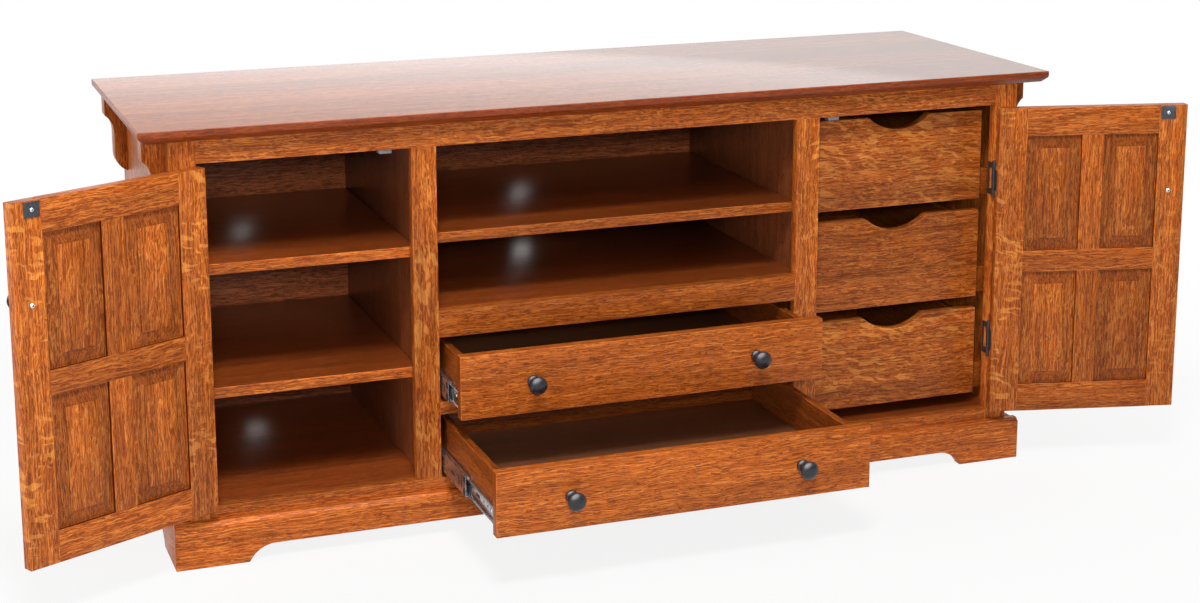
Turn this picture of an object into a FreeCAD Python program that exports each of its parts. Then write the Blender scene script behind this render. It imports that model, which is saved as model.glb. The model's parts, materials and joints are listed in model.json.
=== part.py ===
# A Mission-style television stand: an oak case with two inset doors, two wide drawers and
# three inner drawers. Sizes are in millimetres. The origin is on the floor at mid-width under
# the back of the case, with +X to the right as seen from the front, +Y to the back and +Z up.
import FreeCAD
import Part
import Sketcher
import math
import operator
import os

SIZES = (
    # The whole and its top
    ("overall_height", 762, "floor to the upper face of the top"),
    ("top_thickness", 21, "thickness of the top"),
    ("top_edge", 11, "upright part of the top's edge, above the bevel"),
    ("top_bevel_width", 10, "how far the bevel runs in under the top"),
    ("top_side_overhang", 52, "top beyond each side of the case"),
    ("top_front_overhang", 27, "top beyond the face frame"),
    ("top_back_overhang", 5, "top beyond the back of the case"),
    # The case
    ("case_width", 1598, "outside of the case, side to side"),
    ("case_depth", 540, "front of the face frame to the back"),
    ("case_bottom", 45, "lower edge of the sides and the face frame"),
    ("board_thickness", 19, "sides, partitions, bottom and fixed shelf"),
    ("back_thickness", 6, "back panel"),
    ("shelf_thickness", 19, "loose shelves"),
    # The face frame
    ("frame_thickness", 20, "stiles, mullions and rails of the face frame"),
    ("end_stile_width", 45, "outer stiles"),
    ("mullion_width", 44.5, "upright bars between the bays"),
    ("side_opening", 367, "clear width of the left and right bays"),
    ("opening_bottom", 101, "upper edge of the bottom rail"),
    ("top_rail_height", 42, "rail under the top"),
    ("fixed_shelf_level", 406, "upper face of the fixed shelf in the middle bay"),
    ("fixed_rail_height", 48, "rail under the fixed shelf"),
    ("divider_height", 24, "rail between the two wide drawers"),
    # The loose shelves
    ("upper_shelf_level", 520, "upper face of the left bay's upper shelf"),
    ("lower_shelf_level", 303, "upper face of the left bay's lower shelf"),
    ("middle_shelf_level", 538, "upper face of the middle bay's shelf"),
    ("side_shelf_setback", 25, "left shelves behind the frame's front"),
    ("middle_shelf_setback", 34, "middle shelf behind the frame's front"),
    ("shelf_back_gap", 2, "air between a shelf and the back panel"),
    ("shelf_end_play", 1.5, "air at each end of a loose shelf"),
    ("support_width", 9, "shelf support, front to back"),
    ("support_reach", 14, "shelf support, out of its panel"),
    ("support_drop", 10, "shelf support, down its panel"),
    ("support_sheet", 2, "metal of a shelf support"),
    ("support_inset", 45, "shelf support from the shelf's front or back edge"),
    # The base
    ("base_height", 80, "upper edge of the base boards"),
    ("base_board", 19, "thickness of the base boards"),
    ("base_bevel", 7, "bevel along the upper edge of the base boards"),
    ("foot_length", 126, "front foot, from the base's corner"),
    ("side_foot_length", 120, "side foot, from the base's front face"),
    ("arch_height", 29, "clear height under the base's arches"),
    ("arch_run", 47, "length of the round at each end of an arch"),
    # The corbels
    ("corbel_projection", 38, "corbel out from the side"),
    ("corbel_width", 38, "corbel, front to back"),
    ("corbel_height", 146, "corbel under the top"),
    ("corbel_block", 40, "straight upper part of the corbel"),
    ("corbel_cove", 32, "height of the hollow curve under that"),
    ("corbel_waist", 22, "projection below the hollow curve"),
    ("corbel_toe", 31, "height of the round at the bottom"),
    ("corbel_setback", 38, "front corbel behind the frame's front"),
    ("corbel_rear_gap", 16, "rear corbel from the back of the case"),
    # The doors
    ("reveal", 2, "gap round the doors and the wide drawers"),
    ("door_stile", 54, "upright outer bars of a door"),
    ("door_rail", 54, "top and bottom bars of a door"),
    ("door_bar", 42, "middle bars of a door"),
    ("groove_depth", 8, "grooves that hold the panels"),
    ("groove_width", 6.5, "grooves that hold the panels"),
    ("tongue_play", 0.25, "air on each face of a tongue in its groove"),
    ("panel_play", 0.8, "air at the edge of a panel in its groove"),
    ("field_thickness", 18.4, "raised field of a panel"),
    ("field_step", 1.2, "square step between the bevel and the field"),
    ("field_margin", 1, "flat border between the bars and the bevel"),
    ("field_bevel", 23, "width of the bevel round the field"),
    ("strike_width", 28, "steel plate that the catch holds"),
    ("strike_height", 25, "steel plate that the catch holds"),
    ("strike_thickness", 1.5, "steel plate that the catch holds"),
    ("strike_inset", 23, "steel plate from the door's free edge"),
    ("strike_drop", 2, "steel plate below the door's upper edge"),
    ("catch_width", 22, "magnetic catch, side to side"),
    ("catch_length", 17, "magnetic catch, front to back"),
    ("catch_drop", 11, "magnetic catch below the top rail"),
    ("catch_foot", 14, "magnetic catch up behind the top rail"),
    # The knobs
    ("knob_diameter", 32, "head of a knob"),
    ("knob_length", 37, "knob out of its face"),
    ("knob_crown", 9, "domed end of the head"),
    ("knob_flare", 8, "length of the flare under the head"),
    ("knob_neck", 14, "diameter of the neck"),
    ("knob_seat", 22, "diameter of the seat"),
    ("door_knob_inset", 30, "door knob from the free edge"),
    ("door_knob_drop", 166, "door knob below the door's upper edge"),
    ("drawer_knob_inset", 130, "drawer knob from the front's end"),
    # The hinges
    ("hinge_height", 62, "hinge leaf"),
    ("hinge_window", 40, "height of the frame leaf's window"),
    ("hinge_reach", 17, "leaf, back from the front of the frame"),
    ("hinge_strip", 4, "strip behind the window"),
    ("leaf_thickness", 1.2, "hinge leaf"),
    ("knuckle_diameter", 8, "hinge barrel"),
    ("hinge_pin", 3.6, "diameter of the hinge pin"),
    ("pin_fit", 0.08, "radial air round the hinge pin"),
    ("running_clearance", 0.4, "air between parts that pass each other"),
    ("hinge_inset", 140, "middle of a hinge from the door's end"),
    # The drawers and their slides
    ("front_thickness", 20, "drawer fronts"),
    ("drawer_side", 13, "sides and back of a drawer"),
    ("drawer_bottom", 6, "bottom of a drawer"),
    ("bottom_rise", 10, "bottom above the lower edge of the sides"),
    ("bottom_groove", 6, "grooves in the sides that hold the bottom"),
    ("bottom_play", 0.3, "air round the bottom in its grooves"),
    ("rear_inset", 8, "back of a drawer ahead of its sides' ends"),
    ("rear_drop", 6, "back of a drawer below its sides' upper edge"),
    ("box_lower", 12, "sides above the lower edge of the front"),
    ("box_upper", 14, "sides below the upper edge of the front"),
    ("drawer_back_gap", 42, "air behind the inner drawers"),
    ("slide_start", 1, "slides behind the drawer front"),
    ("slide_height", 45, "outer member of a slide"),
    ("slide_thickness", 12.7, "a slide from the wall to the drawer"),
    ("slide_sheet", 1.2, "steel of the slides"),
    ("outer_channel", 9.6, "depth of the outer member"),
    ("middle_offset", 3.2, "middle member from the wall"),
    ("middle_channel", 7.8, "depth of the middle member"),
    ("inner_channel", 6.5, "depth of the inner member"),
    ("ball_diameter", 2.2, "balls between the members"),
    ("ball_clearance", 0.3, "air on each side of the balls"),
    ("cage_length", 110, "ball cage"),
    ("cage_width", 4, "ball cage"),
    ("slide_rise", 27, "middle of a slide above the front's lower edge"),
    ("spacer_height", 50, "packing block behind a slide"),
    ("inner_setback", 32, "inner drawers behind the frame's front"),
    ("inner_left_gap", 5, "inner drawers from the mullion"),
    ("inner_right_gap", 9, "inner drawers from the hinge stile"),
    ("inner_front_play", 0.5, "air at each end of an inner drawer's front"),
    ("inner_top_gap", 14, "air over the inner drawers' fronts"),
    ("inner_bottom_gap", 24, "air under the inner drawers' fronts"),
    ("inner_step_gap", 22, "air between the inner drawers' fronts"),
    ("scoop_width", 128, "hand cut-out in an inner drawer's front"),
    ("scoop_depth", 25, "hand cut-out in an inner drawer's front"),
    ("scoop_round", 7, "rounding at the ends of the cut-out"),
    # How it stands: doors swung open and wide drawers pulled out
    ("left_door_turn", 154, "degrees that the left door stands open"),
    ("right_door_turn", 166, "degrees that the right door stands open"),
    ("upper_drawer_out", 119, "upper wide drawer, pulled out"),
    ("lower_drawer_out", 311, "lower wide drawer, pulled out"),
)

# Where the straight steps of a knob's dome meet, as shares of the head's radius
DOME_STEPS = (0.84, 0.5)
OPERATIONS = {"+": operator.add, "-": operator.sub, "*": operator.mul, "/": operator.truediv}


class Size:
    """A size worked out from the sheet: its value, and the expression that ties it to the cells."""

    def __init__(self, value, text):
        self.value = value
        self.text = text

    def __add__(self, other):
        return combine(self, "+", other)

    def __radd__(self, other):
        return combine(other, "+", self)

    def __sub__(self, other):
        return combine(self, "-", other)

    def __rsub__(self, other):
        return combine(other, "-", self)

    def __mul__(self, other):
        return combine(self, "*", other)

    def __rmul__(self, other):
        return combine(other, "*", self)

    def __truediv__(self, other):
        return combine(self, "/", other)

    def __neg__(self):
        return combine(0, "-", self)


def as_size(item):
    return item if isinstance(item, Size) else Size(float(item), f"({float(item)})")


def combine(first, sign, second):
    first, second = as_size(first), as_size(second)
    return Size(OPERATIONS[sign](first.value, second.value), f"({first.text} {sign} {second.text})")


def cosine(angle):
    return Size(math.cos(math.radians(angle.value)), f"cos({angle.text} * 1 deg)")


def sine(angle):
    return Size(math.sin(math.radians(angle.value)), f"sin({angle.text} * 1 deg)")


def root(size):
    return Size(math.sqrt(size.value), f"sqrt({size.text})")


def make_sheet(doc):
    """The sheet of driving sizes, and each of them as a Size under its own name."""
    sheet = doc.addObject("Spreadsheet::Sheet", "Sizes")
    named = {}
    for row, (name, value, meaning) in enumerate(SIZES, 1):
        sheet.set(f"A{row}", meaning)
        sheet.set(f"B{row}", str(value))
        sheet.setAlias(f"B{row}", name)
        named[name] = Size(float(value), f"Sizes.{name}")
    doc.recompute()
    return named


def bind(item, prop, size, unit=""):
    item.setExpression(prop, as_size(size).text + unit)


def box(name, x, y, z):
    """A board between the low and high values of x, y and z."""
    board = doc.addObject("Part::Box", name)
    for side, axis, (low, high) in (("Length", "x", x), ("Width", "y", y), ("Height", "z", z)):
        bind(board, side, high - low)
        bind(board, f"Placement.Base.{axis}", low)
    return board


def frustum(name, near, far, y):
    """A block whose face narrows from the near rectangle at y[0] to the far one at y[1]."""
    block = doc.addObject("Part::Wedge", name)
    (near_x, near_z), (far_x, far_z) = near, far
    ends = zip(("Xmin", "Xmax", "Zmin", "Zmax", "X2min", "X2max", "Z2min", "Z2max", "Ymin", "Ymax"),
               (*near_x, *near_z, *far_x, *far_z, *y))
    for prop, size in ends:
        bind(block, prop, size)
    return block


def rod(name, radius, x, y, z):
    """An upright round bar between the two values of z."""
    bar = doc.addObject("Part::Cylinder", name)
    bind(bar, "Radius", radius)
    bind(bar, "Height", z[1] - z[0])
    for axis, size in (("x", x), ("y", y), ("z", z[0])):
        bind(bar, f"Placement.Base.{axis}", size)
    return bar


def fuse(name, *pieces):
    joined = doc.addObject("Part::MultiFuse", name)
    joined.Shapes = list(pieces)
    return joined


def cut(name, base, *tools):
    for tool in tools:
        left = doc.addObject("Part::Cut", name)
        left.Base = base
        left.Tool = tool
        base = left
    return base


def arc(start, end, radius, side):
    """The arc from start to end, with its centre on the left (side 1) or the right (-1)."""
    chord = end - start
    left = FreeCAD.Vector(-chord.y, chord.x, 0) / chord.Length
    height = math.sqrt(radius * radius - chord.Length * chord.Length / 4)
    centre = (start + end) / 2 + left * (side * height)
    first, last = [math.atan2(p.y - centre.y, p.x - centre.x) for p in (start, end)[::side]]
    if last < first:
        last += 2 * math.pi
    return Part.ArcOfCircle(Part.Circle(centre, FreeCAD.Vector(0, 0, 1), radius), first, last)


def outline(body, plane, corners):
    """A closed sketch on one of the body's planes. A corner is (across, up), and one where an
    arc to the next corner starts has the arc's radius and the side of its centre as well."""
    sketch = body.newObject("Sketcher::SketchObject", "Outline")
    sketch.AttachmentSupport = [next(p for p in body.Origin.OriginFeatures if p.Role == plane)]
    sketch.MapMode = "FlatFace"
    corners = [(as_size(c[0]), as_size(c[1]), *c[2:]) for c in corners]
    points = [FreeCAD.Vector(across.value, up.value, 0) for across, up, *_ in corners]
    starts, ends = [], []
    for index, (corner, point) in enumerate(zip(corners, points)):
        following = points[(index + 1) % len(points)]
        side = corner[3] if len(corner) > 2 else 1
        if len(corner) > 2:
            sketch.addGeometry(arc(point, following, corner[2].value, side))
        else:
            sketch.addGeometry(Part.LineSegment(point, following))
        starts.append(1 if side > 0 else 2)
        ends.append(2 if side > 0 else 1)

    def constrain(size, *terms):
        number = sketch.addConstraint(Sketcher.Constraint(*terms, size.value))
        sketch.setExpression(f"Constraints[{number}]", size.text)

    for index, corner in enumerate(corners):
        following = (index + 1) % len(corners)
        sketch.addConstraint(Sketcher.Constraint(
            "Coincident", index, ends[index], following, starts[following]))
        constrain(corner[0], "DistanceX", -1, 1, index, starts[index])
        constrain(corner[1], "DistanceY", -1, 1, index, starts[index])
        if len(corner) > 2:
            constrain(corner[2], "Radius", index)
    return sketch


def pad(name, plane, corners, length):
    """A body made by padding an outline. On XZ_Plane it grows to -Y, on YZ_Plane to +X."""
    body = doc.addObject("PartDesign::Body", name)
    feature = body.newObject("PartDesign::Pad", "Pad")
    feature.Profile = outline(body, plane, corners)
    bind(feature, "Length", length)
    body.Tip = feature
    return body


def dress(body, kind, prop, size, chosen):
    """Bevels or rounds the edges of the body that chosen() picks."""
    doc.recompute()
    base = body.Tip
    names = [f"Edge{n}" for n, edge in enumerate(base.Shape.Edges, 1) if chosen(edge.BoundBox)]
    feature = body.newObject(f"PartDesign::{kind}", kind)
    feature.Base = (base, names)
    bind(feature, prop, size)
    body.Tip = feature
    return body


def node(label, pieces, carry=None):
    """One named piece, or one group of like pieces. carry sets where a moving one stands."""
    group = doc.addObject("Part::Compound", label)
    group.Links = list(pieces)
    group.Label = label
    if carry:
        carry(group)
    nodes.append(group)


def slid(out):
    """Placement of what a drawer carries, pulled out to the front."""
    def carry(group):
        bind(group, "Placement.Base.y", -out)
    return carry


def turned(axis_x, axis_y, angle, hand):
    """Placement of what a door carries, turned about its hinge axis; hand 1 is anticlockwise."""
    def carry(group):
        upright = FreeCAD.Vector(0, 0, hand)
        group.Placement = FreeCAD.Placement(
            FreeCAD.Vector(), FreeCAD.Rotation(upright, angle.value))
        cos, sin = cosine(angle), hand * sine(angle)
        bind(group, "Placement.Base.x", axis_x - (axis_x * cos - axis_y * sin))
        bind(group, "Placement.Base.y", axis_y - (axis_x * sin + axis_y * cos))
        bind(group, "Placement.Rotation.Angle", angle, " * 1 deg")
    return carry


def grown(span, by):
    """A (low, high) pair made longer at both ends."""
    return span[0] - by, span[1] + by


def middle(span):
    return (span[0] + span[1]) / 2


def ordered(sign, near, far):
    """A (low, high) pair from two values that lie in the direction of sign."""
    return (near, far) if sign > 0 else (far, near)


def arc_radius(run, rise):
    """Radius of an arc that is level at one end and rises or falls by rise along run."""
    return (run * run + rise * rise) / (2 * rise)


doc = FreeCAD.newDocument("tv_stand")
nodes = []
s = type("Named", (), make_sheet(doc))

# Planes and spans that the pieces share
half = s.case_width / 2
front = -s.case_depth
frame_y = (front, front + s.frame_thickness)
behind = frame_y[1]
under_top = s.overall_height - s.top_thickness
inside = (-half + s.board_thickness, half - s.board_thickness)
opening_z = (s.opening_bottom, under_top - s.top_rail_height)
left_bay = (-half + s.end_stile_width, -half + s.end_stile_width + s.side_opening)
right_bay = (-left_bay[1], -left_bay[0])
middle_bay = (left_bay[1] + s.mullion_width, right_bay[0] - s.mullion_width)
partition_x = [(middle(bar) - s.board_thickness / 2, middle(bar) + s.board_thickness / 2)
               for bar in ((left_bay[1], middle_bay[0]), (middle_bay[1], right_bay[0]))]
bay_walls = {
    "left": (inside[0], partition_x[0][0]),
    "middle": (partition_x[0][1], partition_x[1][0]),
    "right": (partition_x[1][1], inside[1]),
}
panel_y = (behind, -s.back_thickness)
inner_y = (front + s.inner_setback, front + s.inner_setback + s.front_thickness)
slide_length = panel_y[1] - s.drawer_back_gap - inner_y[1]
fixed_rail_z = (s.fixed_shelf_level - s.fixed_rail_height, s.fixed_shelf_level)
drawer_zone = (s.opening_bottom, fixed_rail_z[0])
divider_z = (middle(drawer_zone) - s.divider_height / 2, middle(drawer_zone) + s.divider_height / 2)


def make_top():
    x = grown((-half, half), s.top_side_overhang)
    y = (front - s.top_front_overhang, as_size(s.top_back_overhang))
    lip = under_top + (s.top_thickness - s.top_edge)
    slab = box("top_slab", x, y, (lip, s.overall_height))
    # The wedge tapers along its own y axis, which is turned to point up.
    full = (x, (-y[1], -y[0]))
    small = (grown(x, -s.top_bevel_width), (-y[1], -y[0] - s.top_bevel_width))
    bevel = frustum("top_bevel", small, full, (under_top, lip))
    bevel.Placement.Rotation = FreeCAD.Rotation(FreeCAD.Vector(1, 0, 0), 90)
    node("top_panel", [fuse("top_board", slab, bevel)])


def make_case():
    tall = (s.case_bottom, under_top)
    node("side_panels", [
        box("side", x, (behind, as_size(0)), tall)
        for x in ((-half, inside[0]), (inside[1], half))])
    floor_z = (s.opening_bottom - s.board_thickness, s.opening_bottom)
    node("bottom_panel", [box("floor_board", inside, panel_y, floor_z)])
    node("partitions", [
        box("partition", x, panel_y, (s.opening_bottom, under_top)) for x in partition_x])
    back_z = (floor_z[0], under_top)
    node("back_panel", [box("back_sheet", inside, (-s.back_thickness, as_size(0)), back_z)])
    shelf_z = (s.fixed_shelf_level - s.board_thickness, s.fixed_shelf_level)
    node("fixed_shelf", [box("middle_fixed_shelf", bay_walls["middle"], panel_y, shelf_z)])


def make_face_frame():
    tall = (s.case_bottom, under_top)
    between = (left_bay[0], right_bay[1])
    node("end_stiles", [
        box("end_stile", x, frame_y, tall) for x in ((-half, left_bay[0]), (right_bay[1], half))])
    node("top_rail", [box("upper_rail", between, frame_y, (opening_z[1], under_top))])
    node("bottom_rail", [box("lower_rail", between, frame_y, (s.case_bottom, s.opening_bottom))])
    node("mullions", [
        box("mullion", x, frame_y, opening_z)
        for x in ((left_bay[1], middle_bay[0]), (middle_bay[1], right_bay[0]))])
    node("middle_rails", [
        box("middle_rail", middle_bay, frame_y, z) for z in (fixed_rail_z, divider_z)])


def make_shelves():
    supports = []

    def shelf(bay, level, setback):
        x = grown(bay_walls[bay], -s.shelf_end_play)
        y = (front + setback, panel_y[1] - s.shelf_back_gap)
        under = level - s.shelf_thickness
        for wall, inwards in zip(bay_walls[bay], (1, -1)):
            for edge, along in ((y[0] + s.support_inset, 1), (y[1] - s.support_inset, -1)):
                supports.append(support(wall, inwards, ordered(
                    along, edge, edge + along * s.support_width), under))
        return box("loose_shelf", x, y, (under, level))

    node("left_shelves", [
        shelf("left", level, s.side_shelf_setback)
        for level in (s.upper_shelf_level, s.lower_shelf_level)])
    node("middle_shelf", [shelf("middle", s.middle_shelf_level, s.middle_shelf_setback)])
    node("shelf_supports", supports)


def support(wall, inwards, y, under):
    """A bent metal support: a leg on the bay's wall and a tab under the shelf."""
    leg = ordered(inwards, wall, wall + inwards * s.support_sheet)
    tab = ordered(inwards, wall, wall + inwards * s.support_reach)
    return fuse("support", box("support_leg", leg, y, (under - s.support_drop, under)),
                box("support_tab", tab, y, (under - s.support_sheet, under)))


def arched_board(name, plane, ends, feet):
    """A base board between two ends, with a foot at each end and an arch between the feet."""
    low, high = ends
    radius = arc_radius(s.arch_run, s.arch_height)
    spring = (low + feet[0], high - feet[1])
    crown = grown(spring, -s.arch_run)
    corners = [
        (low, 0), (spring[0], 0, radius, -1), (crown[0], s.arch_height),
        (crown[1], s.arch_height, radius, -1), (spring[1], 0), (high, 0),
        (high, s.base_height), (low, s.base_height)]
    return pad(name, plane, corners, s.base_board)


def make_base():
    board = s.base_board.value
    top = s.base_height.value
    near = 0.01

    def upper_front(edge):
        return edge.ZMin > top - near and edge.YMax < near - board

    ends = grown((-half, half), s.base_board)
    board_front = arched_board("front_base", "XZ_Plane", ends, (s.foot_length, s.foot_length))
    bind(board_front, "Placement.Base.y", front)
    dress(board_front, "Chamfer", "Size", s.base_bevel, upper_front)
    node("base_front", [board_front])
    sides = []
    feet = (s.side_foot_length - s.base_board, s.side_foot_length)
    for name, x, outer in (("left_base", -half - s.base_board, 0.0), ("right_base", half, board)):
        side = arched_board(name, "YZ_Plane", (front, as_size(0)), feet)
        bind(side, "Placement.Base.x", x)

        def upper_outer(edge, outer=outer):
            level = edge.ZMin > top - near
            return level and abs(edge.XMin - outer) < near and abs(edge.XMax - outer) < near

        dress(side, "Chamfer", "Size", s.base_bevel, upper_outer)
        sides.append(side)
    node("base_sides", sides)
    back_z = (as_size(0), s.opening_bottom - s.board_thickness)
    node("base_back", [box("back_base", inside, (-s.base_board, as_size(0)), back_z)])


def make_corbels():
    corbels = []
    step = s.corbel_projection - s.corbel_waist
    cove = arc_radius(s.corbel_cove, step)
    toe = arc_radius(s.corbel_toe, s.corbel_waist)
    low = under_top - s.corbel_height
    block_z = under_top - s.corbel_block
    rear = (front + s.corbel_setback + s.corbel_width, -s.corbel_rear_gap)
    for side in (-1, 1):
        for back in rear:
            wall = side * half
            waist = wall + side * s.corbel_waist
            outer = wall + side * s.corbel_projection
            body = pad("corbel", "XZ_Plane", [
                (wall, under_top), (outer, under_top), (outer, block_z, cove, side),
                (waist, block_z - s.corbel_cove), (waist, low + s.corbel_toe, toe, -side),
                (wall, low)], s.corbel_width)
            bind(body, "Placement.Base.y", back)
            corbels.append(body)
    node("corbels", corbels)


def knob(x, y, z):
    """A turned mushroom knob on the face at y, standing out to the front."""
    body = doc.addObject("PartDesign::Body", "knob")
    head, neck, seat = s.knob_diameter / 2, s.knob_neck / 2, s.knob_seat / 2
    rim = s.knob_crown - s.knob_length
    dome = arc_radius(head, s.knob_crown)
    steps = [head * share for share in DOME_STEPS]
    crown = [(step, dome - s.knob_length - root(dome * dome - step * step)) for step in steps]
    profile = outline(body, "XY_Plane", [
        (0, 0), (seat, 0), (neck, rim + s.knob_flare), (head, rim), *crown, (0, -s.knob_length)])
    turning = body.newObject("PartDesign::Revolution", "Revolution")
    turning.Profile = profile
    turning.ReferenceAxis = (profile, ["V_Axis"])
    turning.Angle = 360
    body.Tip = turning
    for axis, size in (("x", x), ("y", y), ("z", z)):
        bind(body, f"Placement.Base.{axis}", size)
    return body


def make_door(name, bay, hinge, angle):
    """A frame-and-panel door hinged on the left (hinge -1) or the right (1) of its bay."""
    x, z, y = grown(bay, -s.reveal), grown(opening_z, -s.reveal), frame_y
    axis_x = bay[0 if hinge < 0 else 1] - hinge * s.reveal / 2
    axis_y = front - s.knuckle_diameter / 2 - s.running_clearance
    carry = turned(axis_x, axis_y, angle, hinge)
    core = middle(y)
    groove_y = grown((core, core), s.groove_width / 2)
    tongue_y = grown(groove_y, -s.tongue_play)
    sight_x = grown(x, -s.door_stile)
    sight_z = grown(z, -s.door_rail)
    bar_x = grown((middle(x), middle(x)), s.door_bar / 2)
    bar_z = grown((middle(z), middle(z)), s.door_bar / 2)
    columns = ((sight_x[0], bar_x[0]), (bar_x[1], sight_x[1]))
    rows = ((sight_z[0], bar_z[0]), (bar_z[1], sight_z[1]))
    deep = s.groove_depth

    stiles = [
        cut("stile", box("stile_blank", side, y, z), box("stile_groove", groove, groove_y, z))
        for side, groove in (
            ((x[0], sight_x[0]), (sight_x[0] - deep, sight_x[0])),
            ((sight_x[1], x[1]), (sight_x[1], sight_x[1] + deep)))]
    node(f"{name}_stiles", stiles, carry)

    def rail(span, tenon, grooves):
        blank = box("rail_blank", sight_x, y, span)
        tenons = box("rail_tenons", grown(sight_x, deep), tongue_y, tenon)
        tools = [box("rail_groove", sight_x, groove_y, groove) for groove in grooves]
        return cut("rail", fuse("rail_with_tenons", blank, tenons), *tools)

    lower = (z[0], sight_z[0])
    upper = (sight_z[1], z[1])
    node(f"{name}_rails", [
        rail(lower, (lower[0], lower[1] - deep), [(lower[1] - deep, lower[1])]),
        rail(bar_z, grown(bar_z, -deep), [(bar_z[0], bar_z[0] + deep), (bar_z[1] - deep, bar_z[1])]),
        rail(upper, (upper[0] + deep, upper[1]), [(upper[0], upper[0] + deep)])], carry)

    bars = []
    for row in rows:
        blank = box("bar_blank", bar_x, y, row)
        tenons = box("bar_tenons", grown(bar_x, -deep), tongue_y, grown(row, deep))
        grooves = [box("bar_groove", groove, groove_y, row)
                   for groove in ((bar_x[0], bar_x[0] + deep), (bar_x[1] - deep, bar_x[1]))]
        bars.append(cut("bar", fuse("bar_with_tenons", blank, tenons), *grooves))
    node(f"{name}_bars", bars, carry)

    panels = []
    field_y = grown((core, core), s.field_thickness / 2)
    bevel_y = grown(field_y, -s.field_step)
    for column in columns:
        for row in rows:
            tongue = [grown(span, deep - s.panel_play) for span in (column, row)]
            foot = [grown(span, -s.field_margin) for span in (column, row)]
            field = [grown(span, -s.field_bevel) for span in foot]
            panels.append(fuse(
                "panel", box("tongue", tongue[0], tongue_y, tongue[1]),
                frustum("outer_bevel", field, foot, (bevel_y[0], tongue_y[0])),
                frustum("inner_bevel", foot, field, (tongue_y[1], bevel_y[1])),
                box("field", field[0], field_y, field[1])))
    node(f"{name}_panels", panels, carry)

    free = x[1 if hinge < 0 else 0]
    levels = (z[0] + s.hinge_inset, z[1] - s.hinge_inset)
    leaves = [door_leaf(free + hinge * (x[1] - x[0]), -hinge, axis_x, axis_y, level)
              for level in levels]
    door_knob = knob(free + hinge * s.door_knob_inset, front, z[1] - s.door_knob_drop)
    node(f"{name}_hardware", [door_knob, *leaves], carry)
    frame_leaves.extend(
        frame_leaf(bay[0 if hinge < 0 else 1], -hinge, axis_x, axis_y, level) for level in levels)
    strike_x = ordered(hinge, free + hinge * s.strike_inset,
                       free + hinge * (s.strike_inset + s.strike_width))
    strike_z = (z[1] - s.strike_drop - s.strike_height, z[1] - s.strike_drop)
    strike_y = (y[1], y[1] + s.strike_thickness)
    node(f"{name}_strike_plate", [box("strike", strike_x, strike_y, strike_z)], carry)
    catches.append(make_catch(middle(strike_x), strike_y[1] + s.running_clearance))


def frame_leaf(edge, inwards, axis_x, axis_y, level):
    """The hinge leaf on the stile's edge, with a window for the door's leaf, and the pin."""
    plate = ordered(inwards, edge, edge + inwards * s.leaf_thickness)
    reach = front + s.hinge_reach
    full = grown((level, level), s.hinge_height / 2)
    window = grown((level, level), s.hinge_window / 2)
    pieces = [box("leaf_strip", plate, (reach - s.hinge_strip, reach), window)]
    for span in ((full[0], window[0]), (window[1], full[1])):
        pieces.append(box("leaf_arm", plate, (axis_y, reach), span))
        pieces.append(rod("knuckle", s.knuckle_diameter / 2, axis_x, axis_y, span))
    pieces.append(rod("pin", s.hinge_pin / 2, axis_x, axis_y, full))
    return fuse("frame_leaf", *pieces)


def door_leaf(edge, inwards, axis_x, axis_y, level):
    """The hinge leaf on the door's edge, which lies in the frame leaf's window when shut."""
    plate = ordered(inwards, edge - inwards * s.leaf_thickness, edge)
    air = s.running_clearance
    span = grown((level, level), s.hinge_window / 2 - air)
    reach = front + s.hinge_reach - s.hinge_strip - air
    solid = fuse("leaf_with_knuckle", box("leaf_plate", plate, (axis_y, reach), span),
                 rod("knuckle", s.knuckle_diameter / 2, axis_x, axis_y, span))
    bore = rod("pin_bore", s.hinge_pin / 2 + s.pin_fit, axis_x, axis_y, span)
    return cut("door_leaf", solid, bore)


def make_catch(x, face):
    """A magnetic catch behind the top rail, with its magnet below the rail."""
    wide = grown((x, x), s.catch_width / 2)
    body_z = (opening_z[1] - s.catch_drop, opening_z[1] + s.catch_foot)
    body = box("catch_body", wide, (face, face + s.catch_length), body_z)
    seat = box("catch_seat", wide, (behind, face), (opening_z[1], body_z[1]))
    return fuse("catch", body, seat)


def channel(name, web, tip, mid, half_height, y):
    """A C-shaped steel channel along y: its web at web, its lips out to tip."""
    inwards = 1 if tip.value > web.value else -1
    sheet = s.slide_sheet
    back = web + inwards * sheet
    low, high = mid - half_height, mid + half_height
    body = pad(name, "XZ_Plane", [
        (web, low), (tip, low), (tip, low + sheet), (back, low + sheet),
        (back, high - sheet), (tip, high - sheet), (tip, high), (web, high)], y[1] - y[0])
    bind(body, "Placement.Base.y", y[1])
    return body


def make_slide(wall, inwards, mid, y):
    """One ball-bearing slide from its wall: outer, middle and inner members, and ball cages."""
    rise = s.ball_diameter + 2 * s.ball_clearance + s.slide_sheet
    heights = [s.slide_height / 2 - step * rise for step in range(3)]
    middle_web = wall + inwards * s.middle_offset
    middle_tip = middle_web + inwards * s.middle_channel
    inner_web = wall + inwards * s.slide_thickness
    inner_tip = inner_web - inwards * s.inner_channel
    outer_tip = wall + inwards * s.outer_channel
    outer = channel("outer_member", wall, outer_tip, mid, heights[0], y)
    centre = channel("middle_member", middle_web, middle_tip, mid, heights[1], y)
    inner = channel("inner_member", inner_web, inner_tip, mid, heights[2], y)
    cages = []
    rear, head = (y[1] - s.cage_length, y[1]), (y[0], y[0] + s.cage_length)
    for height, length, lip in ((heights[1], rear, outer_tip), (heights[2], head, middle_tip)):
        x = ordered(-inwards, lip, lip - inwards * s.cage_width)
        near = height + s.ball_clearance
        far = near + s.ball_diameter
        for z in ((mid + near, mid + far), (mid - far, mid - near)):
            cages.append(box("ball_cage", x, length, z))
    return outer, [centre, *cages], inner


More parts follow.
